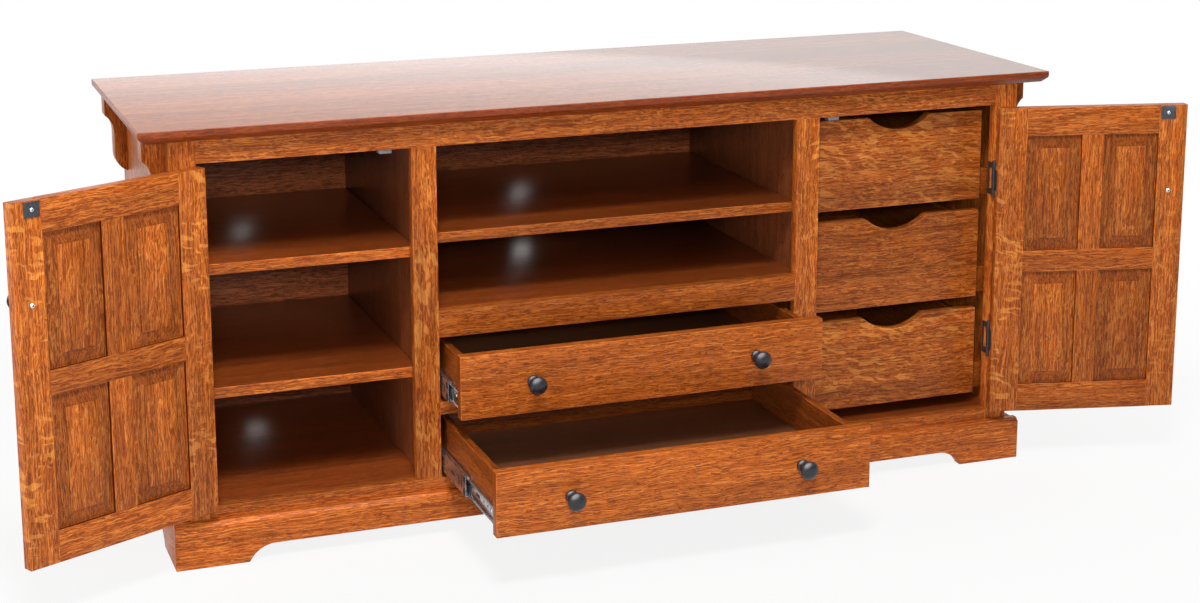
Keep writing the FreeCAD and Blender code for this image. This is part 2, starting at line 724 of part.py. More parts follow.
def make_drawer(name, walls, front_x, front_y, front_z, out, front_piece):
    """A drawer on two slides: its front, its box, and the slides' inner and middle members."""
    carry = slid(out)
    box_y = (front_y[1], front_y[1] + slide_length)
    slide_y = (box_y[0] + s.slide_start, box_y[1] + s.slide_start)
    z = (front_z[0] + s.box_lower, front_z[1] - s.box_upper)
    outside = grown(walls, -s.slide_thickness)
    hollow = grown(outside, -s.drawer_side)
    node(f"{name}_front", [front_piece(front_x, front_y, front_z)], carry)
    base = (z[0] + s.bottom_rise, z[0] + s.bottom_rise + s.drawer_bottom)
    back_y = (box_y[1] - s.rear_inset - s.drawer_side, box_y[1] - s.rear_inset)
    groove_z = grown(base, s.bottom_play)
    floor_x = grown(hollow, s.bottom_groove - s.bottom_play)
    sides = [
        cut("drawer_side", box("side_blank", board, box_y, z), box("groove", groove, box_y, groove_z))
        for board, groove in (
            ((outside[0], hollow[0]), (hollow[0] - s.bottom_groove, hollow[0])),
            ((hollow[1], outside[1]), (hollow[1], hollow[1] + s.bottom_groove)))]
    node(f"{name}_box", [
        *sides, box("drawer_back", hollow, back_y, (base[1], z[1] - s.rear_drop)),
        box("drawer_floor", floor_x, (box_y[0], back_y[1]), base)], carry)
    inner, moving = [], []
    level = front_z[0] + s.slide_rise
    for wall, inwards in zip(walls, (1, -1)):
        outer, centre, last = make_slide(wall, inwards, level, slide_y)
        outer_members.append(outer)
        moving.extend(centre)
        inner.append(last)
    node(f"{name}_slide_middle", moving, slid(out / 2))
    node(f"{name}_slide_inner", inner, carry)
    return carry, level, slide_y


def packing(wall, face, mid, y):
    """A block that brings a slide out from its wall to the bay's edge."""
    z = grown((mid, mid), s.spacer_height / 2)
    spacers.append(box("spacer", ordered(1 if face.value > wall.value else -1, wall, face), y, z))


def plain_front(x, y, z):
    return box("plain_front", x, y, z)


def scooped_front(x, y, z):
    """A drawer front with a shallow hand cut-out in its upper edge."""
    radius = arc_radius(s.scoop_width / 2, s.scoop_depth)
    scoop = grown((middle(x), middle(x)), s.scoop_width / 2)
    body = pad("scooped_front", "XZ_Plane", [
        (x[0], z[0]), (x[1], z[0]), (x[1], z[1]), (scoop[1], z[1], radius, -1),
        (scoop[0], z[1]), (x[0], z[1])], y[1] - y[0])
    bind(body, "Placement.Base.y", y[1])
    near = 0.01

    def lip(edge):
        across = min(abs(edge.XMin - end.value) for end in scoop)
        return across < near and edge.XLength < near and edge.ZMin > z[1].value - near

    return dress(body, "Fillet", "Radius", s.scoop_round, lip)


def make_wide_drawers():
    x = grown(middle_bay, -s.reveal)
    y = (front, front + s.front_thickness)
    for name, zone, out in (
            ("upper_drawer", (divider_z[1], drawer_zone[1]), s.upper_drawer_out),
            ("lower_drawer", (drawer_zone[0], divider_z[0]), s.lower_drawer_out)):
        z = grown(zone, -s.reveal)
        carry, level, slide_y = make_drawer(name, middle_bay, x, y, z, out, plain_front)
        for wall, face in zip(bay_walls["middle"], middle_bay):
            packing(wall, face, level, slide_y)
        node(f"{name}_knobs", [
            knob(knob_x, front, middle(z))
            for knob_x in (x[0] + s.drawer_knob_inset, x[1] - s.drawer_knob_inset)], carry)


def make_inner_drawers():
    faces = (right_bay[0] + s.inner_left_gap, right_bay[1] - s.inner_right_gap)
    gaps = s.inner_top_gap + s.inner_bottom_gap + 2 * s.inner_step_gap
    height = (opening_z[1] - opening_z[0] - gaps) / 3
    for number in range(3):
        high = opening_z[1] - s.inner_top_gap - number * (height + s.inner_step_gap)
        _, level, slide_y = make_drawer(
            f"inner_drawer_{number + 1}", faces, grown(faces, -s.inner_front_play), inner_y,
            (high - height, high), as_size(0), scooped_front)
        for wall, face in zip(bay_walls["right"], faces):
            packing(wall, face, level, slide_y)


catches, frame_leaves, outer_members, spacers = [], [], [], []
make_top()
make_case()
make_face_frame()
make_shelves()
make_base()
make_corbels()
make_door("left_door", left_bay, -1, s.left_door_turn)
make_door("right_door", right_bay, 1, s.right_door_turn)
make_wide_drawers()
make_inner_drawers()
node("magnetic_catches", catches)
node("hinge_frame_leaves", frame_leaves)
node("slide_outer_members", outer_members)
node("slide_spacers", spacers)

doc.recompute()
for item in doc.Objects:
    if "Invalid" in item.State or "Error" in item.State:
        raise RuntimeError(f"{item.Label} did not compute: {item.State}")
os.makedirs("parts", exist_ok=True)
for piece in nodes:
    if piece.Shape.isNull() or not piece.Shape.isValid():
        raise RuntimeError(f"{piece.Label} has no valid shape")
    piece.Shape.exportStep(os.path.join("parts", f"{piece.Label}.step"))
print(len(nodes), "nodes,", sum(len(piece.Shape.Solids) for piece in nodes), "solids")
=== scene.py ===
# %% [markdown]
# A jointed oak TV stand
#
# A long, low cabinet of quarter-sawn oak: two framed doors on black hinges, two wide drawers and three
# scooped inner drawers on ball-bearing slides. The CAD model already has every board at its true place.
# This lesson gives those boards eased edges, grain that follows each one, and the small fittings that
# make a cabinet look used: turned knobs, screws, slots, balls and catches.

import json
import math
import random

import bmesh
import bpy
import numpy as np
from mathutils import Matrix, Vector

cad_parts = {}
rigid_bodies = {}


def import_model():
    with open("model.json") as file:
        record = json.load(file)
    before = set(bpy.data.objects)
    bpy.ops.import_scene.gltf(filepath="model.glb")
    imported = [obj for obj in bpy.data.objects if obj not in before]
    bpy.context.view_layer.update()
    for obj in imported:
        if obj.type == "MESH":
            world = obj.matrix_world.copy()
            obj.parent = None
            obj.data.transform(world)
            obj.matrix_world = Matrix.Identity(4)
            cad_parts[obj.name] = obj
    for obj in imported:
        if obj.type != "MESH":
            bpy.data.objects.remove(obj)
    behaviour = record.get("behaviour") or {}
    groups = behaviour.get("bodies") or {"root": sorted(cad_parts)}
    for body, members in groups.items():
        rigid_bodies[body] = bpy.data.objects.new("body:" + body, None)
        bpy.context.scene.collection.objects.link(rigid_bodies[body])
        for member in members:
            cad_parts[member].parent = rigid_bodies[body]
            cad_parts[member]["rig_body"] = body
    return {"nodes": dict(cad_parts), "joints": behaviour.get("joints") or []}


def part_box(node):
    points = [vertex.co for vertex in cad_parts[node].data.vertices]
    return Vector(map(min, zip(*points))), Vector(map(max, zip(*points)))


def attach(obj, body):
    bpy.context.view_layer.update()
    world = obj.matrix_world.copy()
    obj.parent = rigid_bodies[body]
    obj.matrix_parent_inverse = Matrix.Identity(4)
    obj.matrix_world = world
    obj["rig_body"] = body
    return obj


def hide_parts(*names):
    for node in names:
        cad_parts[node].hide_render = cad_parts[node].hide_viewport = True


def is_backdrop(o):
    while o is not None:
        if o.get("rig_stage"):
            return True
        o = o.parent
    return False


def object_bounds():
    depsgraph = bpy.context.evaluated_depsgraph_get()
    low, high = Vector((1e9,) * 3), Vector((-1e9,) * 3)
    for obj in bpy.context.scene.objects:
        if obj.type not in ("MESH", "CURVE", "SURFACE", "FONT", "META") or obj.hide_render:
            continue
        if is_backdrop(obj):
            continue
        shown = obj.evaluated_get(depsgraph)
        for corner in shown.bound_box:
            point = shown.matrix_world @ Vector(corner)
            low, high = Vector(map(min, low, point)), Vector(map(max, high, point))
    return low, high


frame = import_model()
cad_low, cad_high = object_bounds()
joints = {joint["name"]: joint for joint in frame["joints"]}
MM = 0.001
DRAWERS = ("upper_drawer", "lower_drawer", "inner_drawer_1", "inner_drawer_2", "inner_drawer_3")
WIDE_DRAWERS = DRAWERS[:2]
DOORS = ("left_door", "right_door")

# %% [markdown]
# The camera
#
# The stand was photographed from its left, a little above the top. The place and the turn come from
# matching corners of the case. A small lens shift puts the stand where the picture has it without tilting
# the camera further, which would make the uprights lean.

# %% Set up the camera
IMAGE_WIDTH = 1200
FOCAL_PIXELS = 2110
CAMERA_PLACE = Vector((-1.323, -3.952, 1.411))
CAMERA_YAW = math.radians(19.74)
CAMERA_PITCH = math.radians(-11.62)
CAMERA_ROLL = math.radians(-0.27)


def in_scene(name, data):
    """A new object with this data, linked into the scene."""
    made = bpy.data.objects.new(name, data)
    bpy.context.scene.collection.objects.link(made)
    return made


camera_data = bpy.data.cameras.new("camera")
camera_data.sensor_fit = "HORIZONTAL"
camera_data.sensor_width = 36
camera_data.lens = FOCAL_PIXELS * camera_data.sensor_width / IMAGE_WIDTH
camera_data.shift_x = 0.025
camera_data.shift_y = -0.122
camera = in_scene("camera", camera_data)
bpy.context.scene.camera = camera

ahead = Vector((
    math.sin(CAMERA_YAW) * math.cos(CAMERA_PITCH),
    math.cos(CAMERA_YAW) * math.cos(CAMERA_PITCH),
    math.sin(CAMERA_PITCH),
))
level = Vector((math.cos(CAMERA_YAW), -math.sin(CAMERA_YAW), 0))
upright = level.cross(ahead)
right = level * math.cos(CAMERA_ROLL) + upright * math.sin(CAMERA_ROLL)
up = upright * math.cos(CAMERA_ROLL) - level * math.sin(CAMERA_ROLL)
turn = Matrix((right, up, -ahead)).transposed()
camera.matrix_world = Matrix.Translation(CAMERA_PLACE) @ turn.to_4x4()
print("camera lens", round(camera_data.lens, 1), "mm")

# %% [markdown]
# A short way to wire nodes
#
# Every finish below is a small network. Adding a node, setting it and linking it takes three lines each
# time, so one helper does all of it: an input that is given a socket is linked, anything else is a value.

# %% Node helpers


def fill(tree, node, inputs):
    """Link the inputs that are given a socket, and set the others to a value."""
    for key, value in inputs.items():
        if isinstance(value, bpy.types.NodeSocket):
            tree.links.new(value, node.inputs[key])
        else:
            node.inputs[key].default_value = value


def put(tree, kind, inputs=None, **settings):
    """Add a node, set its properties, then link or fill its inputs."""
    made = tree.nodes.new(kind)
    for name, value in settings.items():
        setattr(made, name, value)
    fill(tree, made, inputs or {})
    return made


def calc(tree, operation, first, second=0.0):
    """One step of arithmetic between numbers or sockets."""
    return put(tree, "ShaderNodeMath", {0: first, 1: second}, operation=operation).outputs[0]


def spread(tree, value, low, high, to_low=0.0, to_high=1.0):
    """Stretch a part of a pattern's range over a new range, with soft ends."""
    inputs = {"Value": value, "From Min": low, "From Max": high, "To Min": to_low, "To Max": to_high}
    return put(tree, "ShaderNodeMapRange", inputs, interpolation_type="SMOOTHSTEP").outputs["Result"]


def stretched(tree, vector, scale):
    """The same coordinates, drawn out by a different amount each way."""
    return put(tree, "ShaderNodeVectorMath", {0: vector, 1: scale}, operation="MULTIPLY").outputs[0]


def shifted(tree, vector, step):
    """The same coordinates, moved by a step."""
    return put(tree, "ShaderNodeVectorMath", {0: vector, 1: step}).outputs[0]


def noise(tree, vector, scale, detail, roughness=0.55):
    """A cloudy pattern over these coordinates."""
    inputs = {"Vector": vector, "Scale": scale, "Detail": detail, "Roughness": roughness}
    return put(tree, "ShaderNodeTexNoise", inputs)


print("node helpers ready")

# %% [markdown]
# Quarter-sawn oak
#
# Oak sawn towards the heart shows three things at once: short dark dashes that follow the grain, wide soft
# bands of tone, and pale flecks where the saw runs along the medullary rays. Most flecks lie along the
# grain on a slant, and on the best boards some ripple across it. An image could be stretched over each
# board, but it would repeat and turn the wrong way at the joints. Here each board carries its own grain
# coordinate in metres (along, across, through), and a figure that says how strongly the rays show. Noise
# that is drawn out along the grain makes dashes, bands and flecks at their real size on every board.

# %% The oak pattern
STRIP_WIDTH = 0.125
FLECK_SLANT = 0.2
PORE_DEPTH = 0.4 * MM


def oak_pattern():
    """A node group that turns the board's grain coordinate into colour, roughness and height."""
    tree = bpy.data.node_groups.new("quarter sawn oak", "ShaderNodeTree")
    for name in ("Ground", "Dash", "Ribbon"):
        tree.interface.new_socket(name, in_out="INPUT", socket_type="NodeSocketColor")
    tree.interface.new_socket("Color", in_out="OUTPUT", socket_type="NodeSocketColor")
    for name in ("Roughness", "Height"):
        tree.interface.new_socket(name, in_out="OUTPUT", socket_type="NodeSocketFloat")
    colours = put(tree, "NodeGroupInput").outputs
    grain = put(tree, "ShaderNodeAttribute", attribute_name="grain").outputs["Vector"]
    figure = put(tree, "ShaderNodeAttribute", attribute_name="figure").outputs["Fac"]

    def times(first, second):
        return calc(tree, "MULTIPLY", first, second)

    def most(first, second):
        return calc(tree, "MAXIMUM", first, second)

    def wander(scale, detail, reach):
        """A smooth random step of about this reach along, across and through the board."""
        cloud = noise(tree, grain, scale, detail).outputs["Color"]
        return stretched(tree, shifted(tree, cloud, (-0.5,) * 3), reach)

    def drawn_out(vector, scale, detail=2.0, roughness=0.55):
        return noise(tree, stretched(tree, vector, scale), 1.0, detail, roughness).outputs["Fac"]

    # The growth lines wander, by a lot over a hand's width and by a little over a finger's
    bent = shifted(tree, grain, wander(8.0, 1.0, (0.02, 0.016, 0.016)))
    bent = shifted(tree, bent, wander(70.0, 1.0, (0.0, 0.0032, 0.0032)))
    lines = drawn_out(bent, (7, 340, 340), 3.0, 0.62)
    dark_lines = times(spread(tree, lines, 0.49, 0.36), spread(tree, figure, 0.05, 0.3, 0.45, 1.0))
    pale_lines = spread(tree, lines, 0.51, 0.66)
    dashes = spread(tree, drawn_out(bent, (38, 720, 720), 2.0, 0.6), 0.48, 0.58)
    bands = drawn_out(bent, (2.5, 50, 50))

    # The rays are pale flecks: most run with the grain on a slant, some ripple straight across it
    swayed = shifted(tree, bent, wander(20.0, 2.0, (0.03, 0.022, 0.022)))
    turned = {"Vector": swayed, "Angle": FLECK_SLANT}
    slant = put(tree, "ShaderNodeVectorRotate", turned, rotation_type="Z_AXIS").outputs[0]

    def flecks(scale, cover, patch, patch_cover):
        """Lens-shaped marks where a drawn-out noise is high, kept only inside soft patches."""
        marks = spread(tree, drawn_out(slant, scale, 1.5, 0.5), cover, cover + 0.06)
        patches = spread(tree, drawn_out(grain, patch, 1.0), patch_cover, patch_cover + 0.14)
        return times(marks, patches)

    bold = times(flecks((26, 105, 105), 0.54, (9, 22, 22), 0.38), spread(tree, figure, 0.6, 1.0))
    bold = times(bold, spread(tree, figure, 1.5, 1.2))
    fine = times(flecks((70, 230, 230), 0.56, (16, 34, 34), 0.42), spread(tree, figure, 0.1, 0.6))
    ripple = times(flecks((120, 26, 26), 0.55, (8, 18, 18), 0.44), spread(tree, figure, 1.2, 1.6))
    ribbons = most(most(times(bold, 0.8), times(ripple, 0.85)), times(fine, 0.6))
    pale = most(ribbons, times(pale_lines, 0.55))

    # A wide board is glued up from strips, and each strip has its own tone
    across = put(tree, "ShaderNodeSeparateXYZ", {0: grain}).outputs["Y"]
    strip = calc(tree, "FLOOR", calc(tree, "DIVIDE", across, STRIP_WIDTH))
    chance = put(tree, "ShaderNodeTexWhiteNoise", {"W": strip}, noise_dimensions="1D").outputs["Value"]
    tone = times(spread(tree, chance, 0.0, 1.0, 0.84, 1.14), spread(tree, bands, 0.3, 0.7, 0.82, 1.12))

    darkness = most(times(dashes, 0.8), times(dark_lines, 0.8))
    darkness = times(darkness, calc(tree, "SUBTRACT", 1.0, times(ribbons, 0.6)))
    ground = put(tree, "ShaderNodeMixRGB", {0: pale, 1: colours["Ground"], 2: colours["Ribbon"]})
    wood = put(tree, "ShaderNodeMixRGB", {0: darkness, 1: ground.outputs[0], 2: colours["Dash"]})
    toned = put(tree, "ShaderNodeVectorMath", {0: wood.outputs[0], "Scale": tone}, operation="SCALE")
    gloss = calc(tree, "ADD", times(dashes, 0.07), 0.34)
    sunk = calc(tree, "ADD", times(dark_lines, -0.4), times(dashes, -0.6))
    put(tree, "NodeGroupOutput", {"Color": toned.outputs[0], "Roughness": gloss, "Height": sunk})
    return tree


oak_tree = oak_pattern()
print(len(oak_tree.nodes), "nodes in the oak pattern")

# %% [markdown]
# One stain on many boards
#
# The whole stand has one stain. End grain drinks more of it, and rubbed edges are paler, partly from wear
# and partly as a painted highlight. Each door, each drawer front and the base is made paler or darker as
# painted light and shade, to match how brightly it stood in the light. One finish with a single amount could
# not show that, so every kind of board gets its own from the same three colours. The top and the shelves
# also have a thicker lacquer, which is a stronger coat over the same wood, and the shelves and the case
# bottom are painted darker under it, as painted shade.

# %% The oak finishes


def new_finish(name):
    """A new material, with its node tree and its main shader."""
    material = bpy.data.materials.new(name)
    material.use_nodes = True
    return material, material.node_tree, material.node_tree.nodes["Principled BSDF"]


def oak_finish(name, ground, dash, ribbon, coat=0.06, blur=0.16):
    """Stained oak under a satin lacquer, in three colours: ground, dark dashes and pale ribbons."""
    material, tree, shader = new_finish(name)
    colours = {"Ground": (*ground, 1), "Dash": (*dash, 1), "Ribbon": (*ribbon, 1)}
    pattern = put(tree, "ShaderNodeGroup", colours, node_tree=oak_tree).outputs
    relief = {"Height": pattern["Height"], "Strength": 0.25, "Distance": PORE_DEPTH}
    bump = put(tree, "ShaderNodeBump", relief).outputs[0]
    fill(tree, shader, {"Base Color": pattern["Color"], "Roughness": pattern["Roughness"], "Normal": bump})
    fill(tree, shader, {"Specular IOR Level": 0.14, "Coat Weight": coat, "Coat Roughness": blur})
    return material


STAIN = (0.44, 0.106, 0.015)
STAIN_DASH = (0.13, 0.022, 0.004)
STAIN_RIBBON = (0.64, 0.235, 0.045)


def shaded(colour, amount):
    return tuple(part * amount for part in colour)


def stain_tones(amount):
    """The stain's ground, dash and ribbon, all paler or darker by one amount."""
    return [shaded(colour, amount) for colour in (STAIN, STAIN_DASH, STAIN_RIBBON)]


def end_tones(amount):
    """End grain drinks more stain, so it is darker and has no bright ribbons."""
    return shaded(STAIN, 0.72 * amount), shaded(STAIN_DASH, 0.8 * amount), shaded(STAIN, 0.8 * amount)


# Painted shade: the slopes at a raised panel's sides are painted darker by this share of the face's tone.
SLOPE_PAINTED_SHADE = 0.78
DEEP_DASH = shaded(STAIN_DASH, 0.7)
FULL_COAT, SOFT_BLUR = 0.9, 0.3
oak = oak_finish("stained oak", *stain_tones(1.0))
# Partly wear and partly a painted highlight: eased edges are painted paler than the face.
edge_wear_and_highlight = oak_finish("rubbed oak edge and painted highlight", shaded(STAIN, 1.15), shaded(STAIN_DASH, 1.6), STAIN_RIBBON)
oak_end = oak_finish("oak end grain", *end_tones(1.0))
# Painted shade: the faces that look into a door panel's recess get this near-black oak, where shade falls.
recess_painted_shade = oak_finish(
    "painted shade in panel recesses", (0.08, 0.014, 0.004), (0.05, 0.010, 0.003), (0.10, 0.02, 0.006)
)
inside = oak_finish("inside oak", (0.37, 0.102, 0.036), (0.08, 0.022, 0.009), (0.47, 0.15, 0.054), 0.2)
partition_oak = oak_finish(
    "partition oak", (0.19, 0.05, 0.015), (0.08, 0.02, 0.007), (0.24, 0.07, 0.022), 0.5
)
inside_edge = oak_finish("inside oak edge", (0.16, 0.05, 0.016), (0.08, 0.024, 0.009), (0.18, 0.06, 0.02))
inside_end = oak_finish("inside end grain", (0.12, 0.036, 0.012), (0.06, 0.018, 0.007), (0.13, 0.04, 0.014))
# Painted shade: the shelves and the case bottom are painted darker than the stain, for the shade inside the
# case.
shelf_oak_painted_shade = oak_finish(
    "lacquered shelf oak with painted shade", (0.25, 0.052, 0.009), DEEP_DASH, (0.32, 0.087, 0.017), FULL_COAT, SOFT_BLUR
)
case_bottom_painted_shade = oak_finish(
    "oak case bottom with painted shade", (0.22, 0.046, 0.009), DEEP_DASH, (0.27, 0.068, 0.014), FULL_COAT, SOFT_BLUR
)
box_oak = oak_finish("drawer box oak", shaded(STAIN, 0.6), DEEP_DASH, shaded(STAIN, 0.8), 0.6, 0.26)
top_edge = oak_finish("dark top edge oak", (0.27, 0.046, 0.008), STAIN_DASH, (0.38, 0.09, 0.016), 0.3)
# Painted light: drawer floors are paler and greyer than the box sides, for light that lifts the shade inside
# the drawer.
box_floor_painted_light = oak_finish(
    "drawer floor oak with painted light", (0.25, 0.095, 0.042), (0.145, 0.05, 0.022), (0.29, 0.116, 0.053), FULL_COAT, SOFT_BLUR
)
oak_top = oak_finish(
    "lacquered top oak", shaded(STAIN, 0.8), shaded(STAIN_DASH, 1.3), shaded(STAIN_RIBBON, 0.8), 1.0
)


def painted_light_oak_set(name, amount):
    """Face, edge, end, corner and slope finishes of a part made paler or darker as painted light and shade.
    """
    face = oak_finish(f"{name} oak", *stain_tones(amount))
    end = oak_finish(f"{name} oak end", *end_tones(amount))
    slope = oak_finish(f"{name} oak slope painted shade", *stain_tones(SLOPE_PAINTED_SHADE * amount))
    return face, edge_wear_and_highlight, end, recess_painted_shade, slope


# Painted light and shade: each amount makes that part paler or darker to match how brightly it stood in the
# light, and the base is palest, for the light thrown up from the floor.
DOOR_WOOD = {"left_door": painted_light_oak_set("left door", 1.13), "right_door": painted_light_oak_set("right door", 0.98)}
BASE_WOOD = painted_light_oak_set("base", 1.35)[:3]
UPPER_FRONT_WOOD = painted_light_oak_set("upper drawer", 0.84)[:3]
LOWER_FRONT_WOOD = painted_light_oak_set("lower drawer", 0.96)[:3]
INNER_FRONT_WOOD = painted_light_oak_set("inner drawer", 0.84)[:3]
TOP_WOOD = (oak_top, top_edge, top_edge, top_edge)
OUTSIDE_WOOD = (oak, edge_wear_and_highlight, oak_end)
INSIDE_WOOD = (inside, inside_edge, inside_end)
PARTITION_WOOD = (partition_oak, inside_edge, inside_end)
BOTTOM_WOOD = (case_bottom_painted_shade, inside_edge, inside_end)
# The shelves' upright front edges keep the plain oak, so they stay pale against the painted shade on the
# shelf tops.
SHELF_WOOD = (shelf_oak_painted_shade, edge_wear_and_highlight, oak_end, oak)
BOX_WOOD = (box_oak, edge_wear_and_highlight, oak_end, box_floor_painted_light)
print("oak finishes made")

# %% [markdown]
# Metal and plastic
#
# Black knobs and hinges have a thin satin coating, so they are dark, a little rough and faintly mottled.
# Slides are zinc-plated sheet, paler, with rolling lines along the bar. A noise on the object's own
# coordinates breaks the evenness of each, because no plated or painted part is one flat colour.

# %% Metal and plastic finishes
COAT_DEPTH = 0.3 * MM


def mottled(name, colour, other, metallic, rough, scale=(260, 260, 260), depth=0.0):
    """A finish whose colour and roughness wander between two close values."""
    material, tree, shader = new_finish(name)
    place = put(tree, "ShaderNodeTexCoord").outputs["Object"]
    cloud = noise(tree, stretched(tree, place, scale), 1.0, 3.0).outputs["Fac"]
    mix = put(tree, "ShaderNodeMixRGB", {0: spread(tree, cloud, 0.3, 0.7), 1: (*colour, 1), 2: (*other, 1)})
    roughness = spread(tree, cloud, 0.3, 0.7, *rough)
    fill(tree, shader, {"Base Color": mix.outputs[0], "Roughness": roughness, "Metallic": metallic})
    if depth:
        bump = put(tree, "ShaderNodeBump", {"Height": cloud, "Strength": depth, "Distance": COAT_DEPTH})
        fill(tree, shader, {"Normal": bump.outputs[0]})
    return material


knob_black = mottled("satin black knob", (0.010, 0.010, 0.013), (0.017, 0.017, 0.022), 0.0, (0.26, 0.33))
hinge_black = mottled(
    "black hinge coat", (0.012, 0.012, 0.013), (0.024, 0.023, 0.024), 0.0, (0.36, 0.5), depth=0.1
)
plate_grey = mottled("dark steel plate", (0.045, 0.05, 0.06), (0.075, 0.08, 0.09), 0.6, (0.32, 0.45))
zinc = mottled("zinc plate", (0.34, 0.345, 0.36), (0.48, 0.485, 0.50), 0.92, (0.2, 0.3), (900, 24, 900), 0.05)
bright_zinc = mottled("bright screw", (0.74, 0.74, 0.75), (0.86, 0.86, 0.86), 1.0, (0.18, 0.28))
# Painted shade for the punched and bored holes and for screw recesses, and the real black of the stop clips.
hole_shade_and_clip_black = mottled("painted hole shade and black clip", (0.008, 0.008, 0.009), (0.018, 0.017, 0.017), 0.0, (0.5, 0.7))
support_steel = mottled("shelf support steel", (0.40, 0.40, 0.42), (0.55, 0.55, 0.56), 1.0, (0.25, 0.35))
catch_grey = mottled(
    "grey catch plastic", (0.20, 0.20, 0.21), (0.27, 0.27, 0.28), 0.0, (0.38, 0.5), depth=0.15
)
print(len(bpy.data.materials), "materials so far")

# %% [markdown]
# Boards with eased edges and their own grain
#
# A joiner breaks every sharp edge with a stroke of sandpaper, and that thin round catches the light. The
# CAD mesh is loose triangles, so a copy is merged and its flat triangles are joined again. Then each
# board in it is found, given its grain coordinate, and its outer edges are marked for a Bevel modifier.
# The modifier stays live, and its own material slot makes the rubbed edge a little paler, partly from wear
# and partly as a painted highlight. The back panel also gets four round holes for cables, cut by a Boolean,
# and keeps its edges crisp.

# %% Find each board and lay its grain
dice = random.Random(11)
WORLD_AXES = tuple(np.eye(3))
RUN_X, RUN_Y, RUN_Z = range(3)
FACE_SLOT, EDGE_SLOT, END_SLOT, CORNER_SLOT, SLOPE_SLOT = range(5)
SMOOTH_ANGLE = math.radians(32)
FLAT_ANGLE = math.radians(0.6)
SHORT_EDGE = 1.5 * MM
WELD = 0.01 * MM
FIRST_STRIP = (16, 160)
FIRST_LENGTH = (2, 20)
FIRST_DEPTH = (1, 6)
FIGURE_LUCK = (0.7, 1.2)


def door_angle(door):
    """How far the door has been opened from closed, about the upright axis."""
    hinge = joints[f"{door}_hinge"]
    return math.radians(-hinge["range_deg"][0]) * hinge["axis"][2]


def door_axes(door):
    turned = Matrix.Rotation(door_angle(door), 3, "Z")
    return tuple(np.array(turned.col[number]) for number in range(3))


def opened(door):
    """The move that carries a point of the closed door to where the door stands open."""
    pivot = Vector(joints[f"{door}_hinge"]["pos_m"])
    return Matrix.Translation(pivot) @ Matrix.Rotation(door_angle(door), 4, "Z") @ Matrix.Translation(-pivot)


def merged_copy(node):
    """The node's mesh as one closed skin, with flat triangles joined into whole faces."""
    skin = bmesh.new()
    skin.from_mesh(frame["nodes"][node].data)
    bmesh.ops.remove_doubles(skin, verts=skin.verts[:], dist=WELD)
    bmesh.ops.dissolve_limit(skin, angle_limit=FLAT_ANGLE, verts=skin.verts[:], edges=skin.edges[:])
    return skin


def separate_parts(skin):
    """The vertices of each part that isn't joined to the others."""
    waiting = dict.fromkeys(skin.verts)
    parts = []
    while waiting:
        first = next(iter(waiting))
        del waiting[first]
        part = [first]
        for vertex in part:
            for edge in vertex.link_edges:
                other = edge.other_vert(vertex)
                if other in waiting:
                    del waiting[other]
                    part.append(other)
        parts.append(part)
    return parts


def lay_grain(skin, axes, along, figure, end_limit):
    """Write each board's grain coordinate, and set its end faces to the end-grain slot."""
    grain = skin.verts.layers.float_vector.new("grain")
    shown = skin.verts.layers.float.new("figure")
    for board in separate_parts(skin):
        places = np.array([vertex.co for vertex in board]) @ np.array(axes).T
        spans = np.ptp(places, axis=0)
        order = sorted(range(3), key=lambda way: -spans[way])
        if along is not None:
            order.remove(along)
            order.insert(0, along)
        middle = (places.max(0) + places.min(0)) / 2
        # Every board starts at its own place in the pattern, and a narrow one stays inside one strip
        strip = dice.randrange(*FIRST_STRIP)
        slip = dice.random() if spans[order[1]] > STRIP_WIDTH else 0.5
        start = (dice.uniform(*FIRST_LENGTH), (strip + slip) * STRIP_WIDTH, dice.uniform(*FIRST_DEPTH))
        strength = figure * dice.uniform(*FIGURE_LUCK)
        for vertex, place in zip(board, places):
            vertex[grain] = [place[way] - middle[way] + offset for way, offset in zip(order, start)]
            vertex[shown] = strength
        run = Vector(axes[order[0]])
        for face in {face for vertex in board for face in vertex.link_faces}:
            face.material_index = END_SLOT if abs(face.normal.dot(run)) > end_limit else FACE_SLOT


def mark_edges(skin, ease):
    """Choose the edges to ease, and keep inner corners, and all corners of an uneased skin, crisp."""
    weight = skin.edges.layers.float.new("bevel_weight_edge")
    skin.normal_update()
    for edge in skin.edges:
        if len(edge.link_faces) != 2:
            continue
        sharp = edge.calc_face_angle(0.0) > SMOOTH_ANGLE
        eased = ease > 0 and sharp and edge.is_convex and edge.calc_length() > SHORT_EDGE
        edge[weight] = 1.0 if eased else 0.0
        edge.smooth = eased or not sharp


print("doors open by", [round(abs(math.degrees(door_angle(door)))) for door in DOORS], "degrees")

# %% Keep a finished piece, and bore holes in a panel


def keep(skin, name, materials, body, replaced, ease=0.0):
    """Turn a finished skin into a piece that rides on a body and stands for a CAD node."""
    mesh = bpy.data.meshes.new(name)
    for face in skin.faces:
        face.smooth = True
    skin.to_mesh(mesh)
    skin.free()
    for material in materials:
        mesh.materials.append(material)
    piece = in_scene(name, mesh)
    if ease:
        bevel = piece.modifiers.new("eased edges", "BEVEL")
        bevel.width = ease
        bevel.segments = 2
        bevel.limit_method = "WEIGHT"
        bevel.use_clamp_overlap = False
        bevel.harden_normals = True
        bevel.material = EDGE_SLOT if len(materials) > 1 else -1
    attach(piece, body)
    if replaced:
        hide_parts(replaced)


def settled(thing):
    """The plain mesh that an object has once its modifiers have run."""
    return bpy.data.meshes.new_from_object(thing.evaluated_get(bpy.context.evaluated_depsgraph_get()))


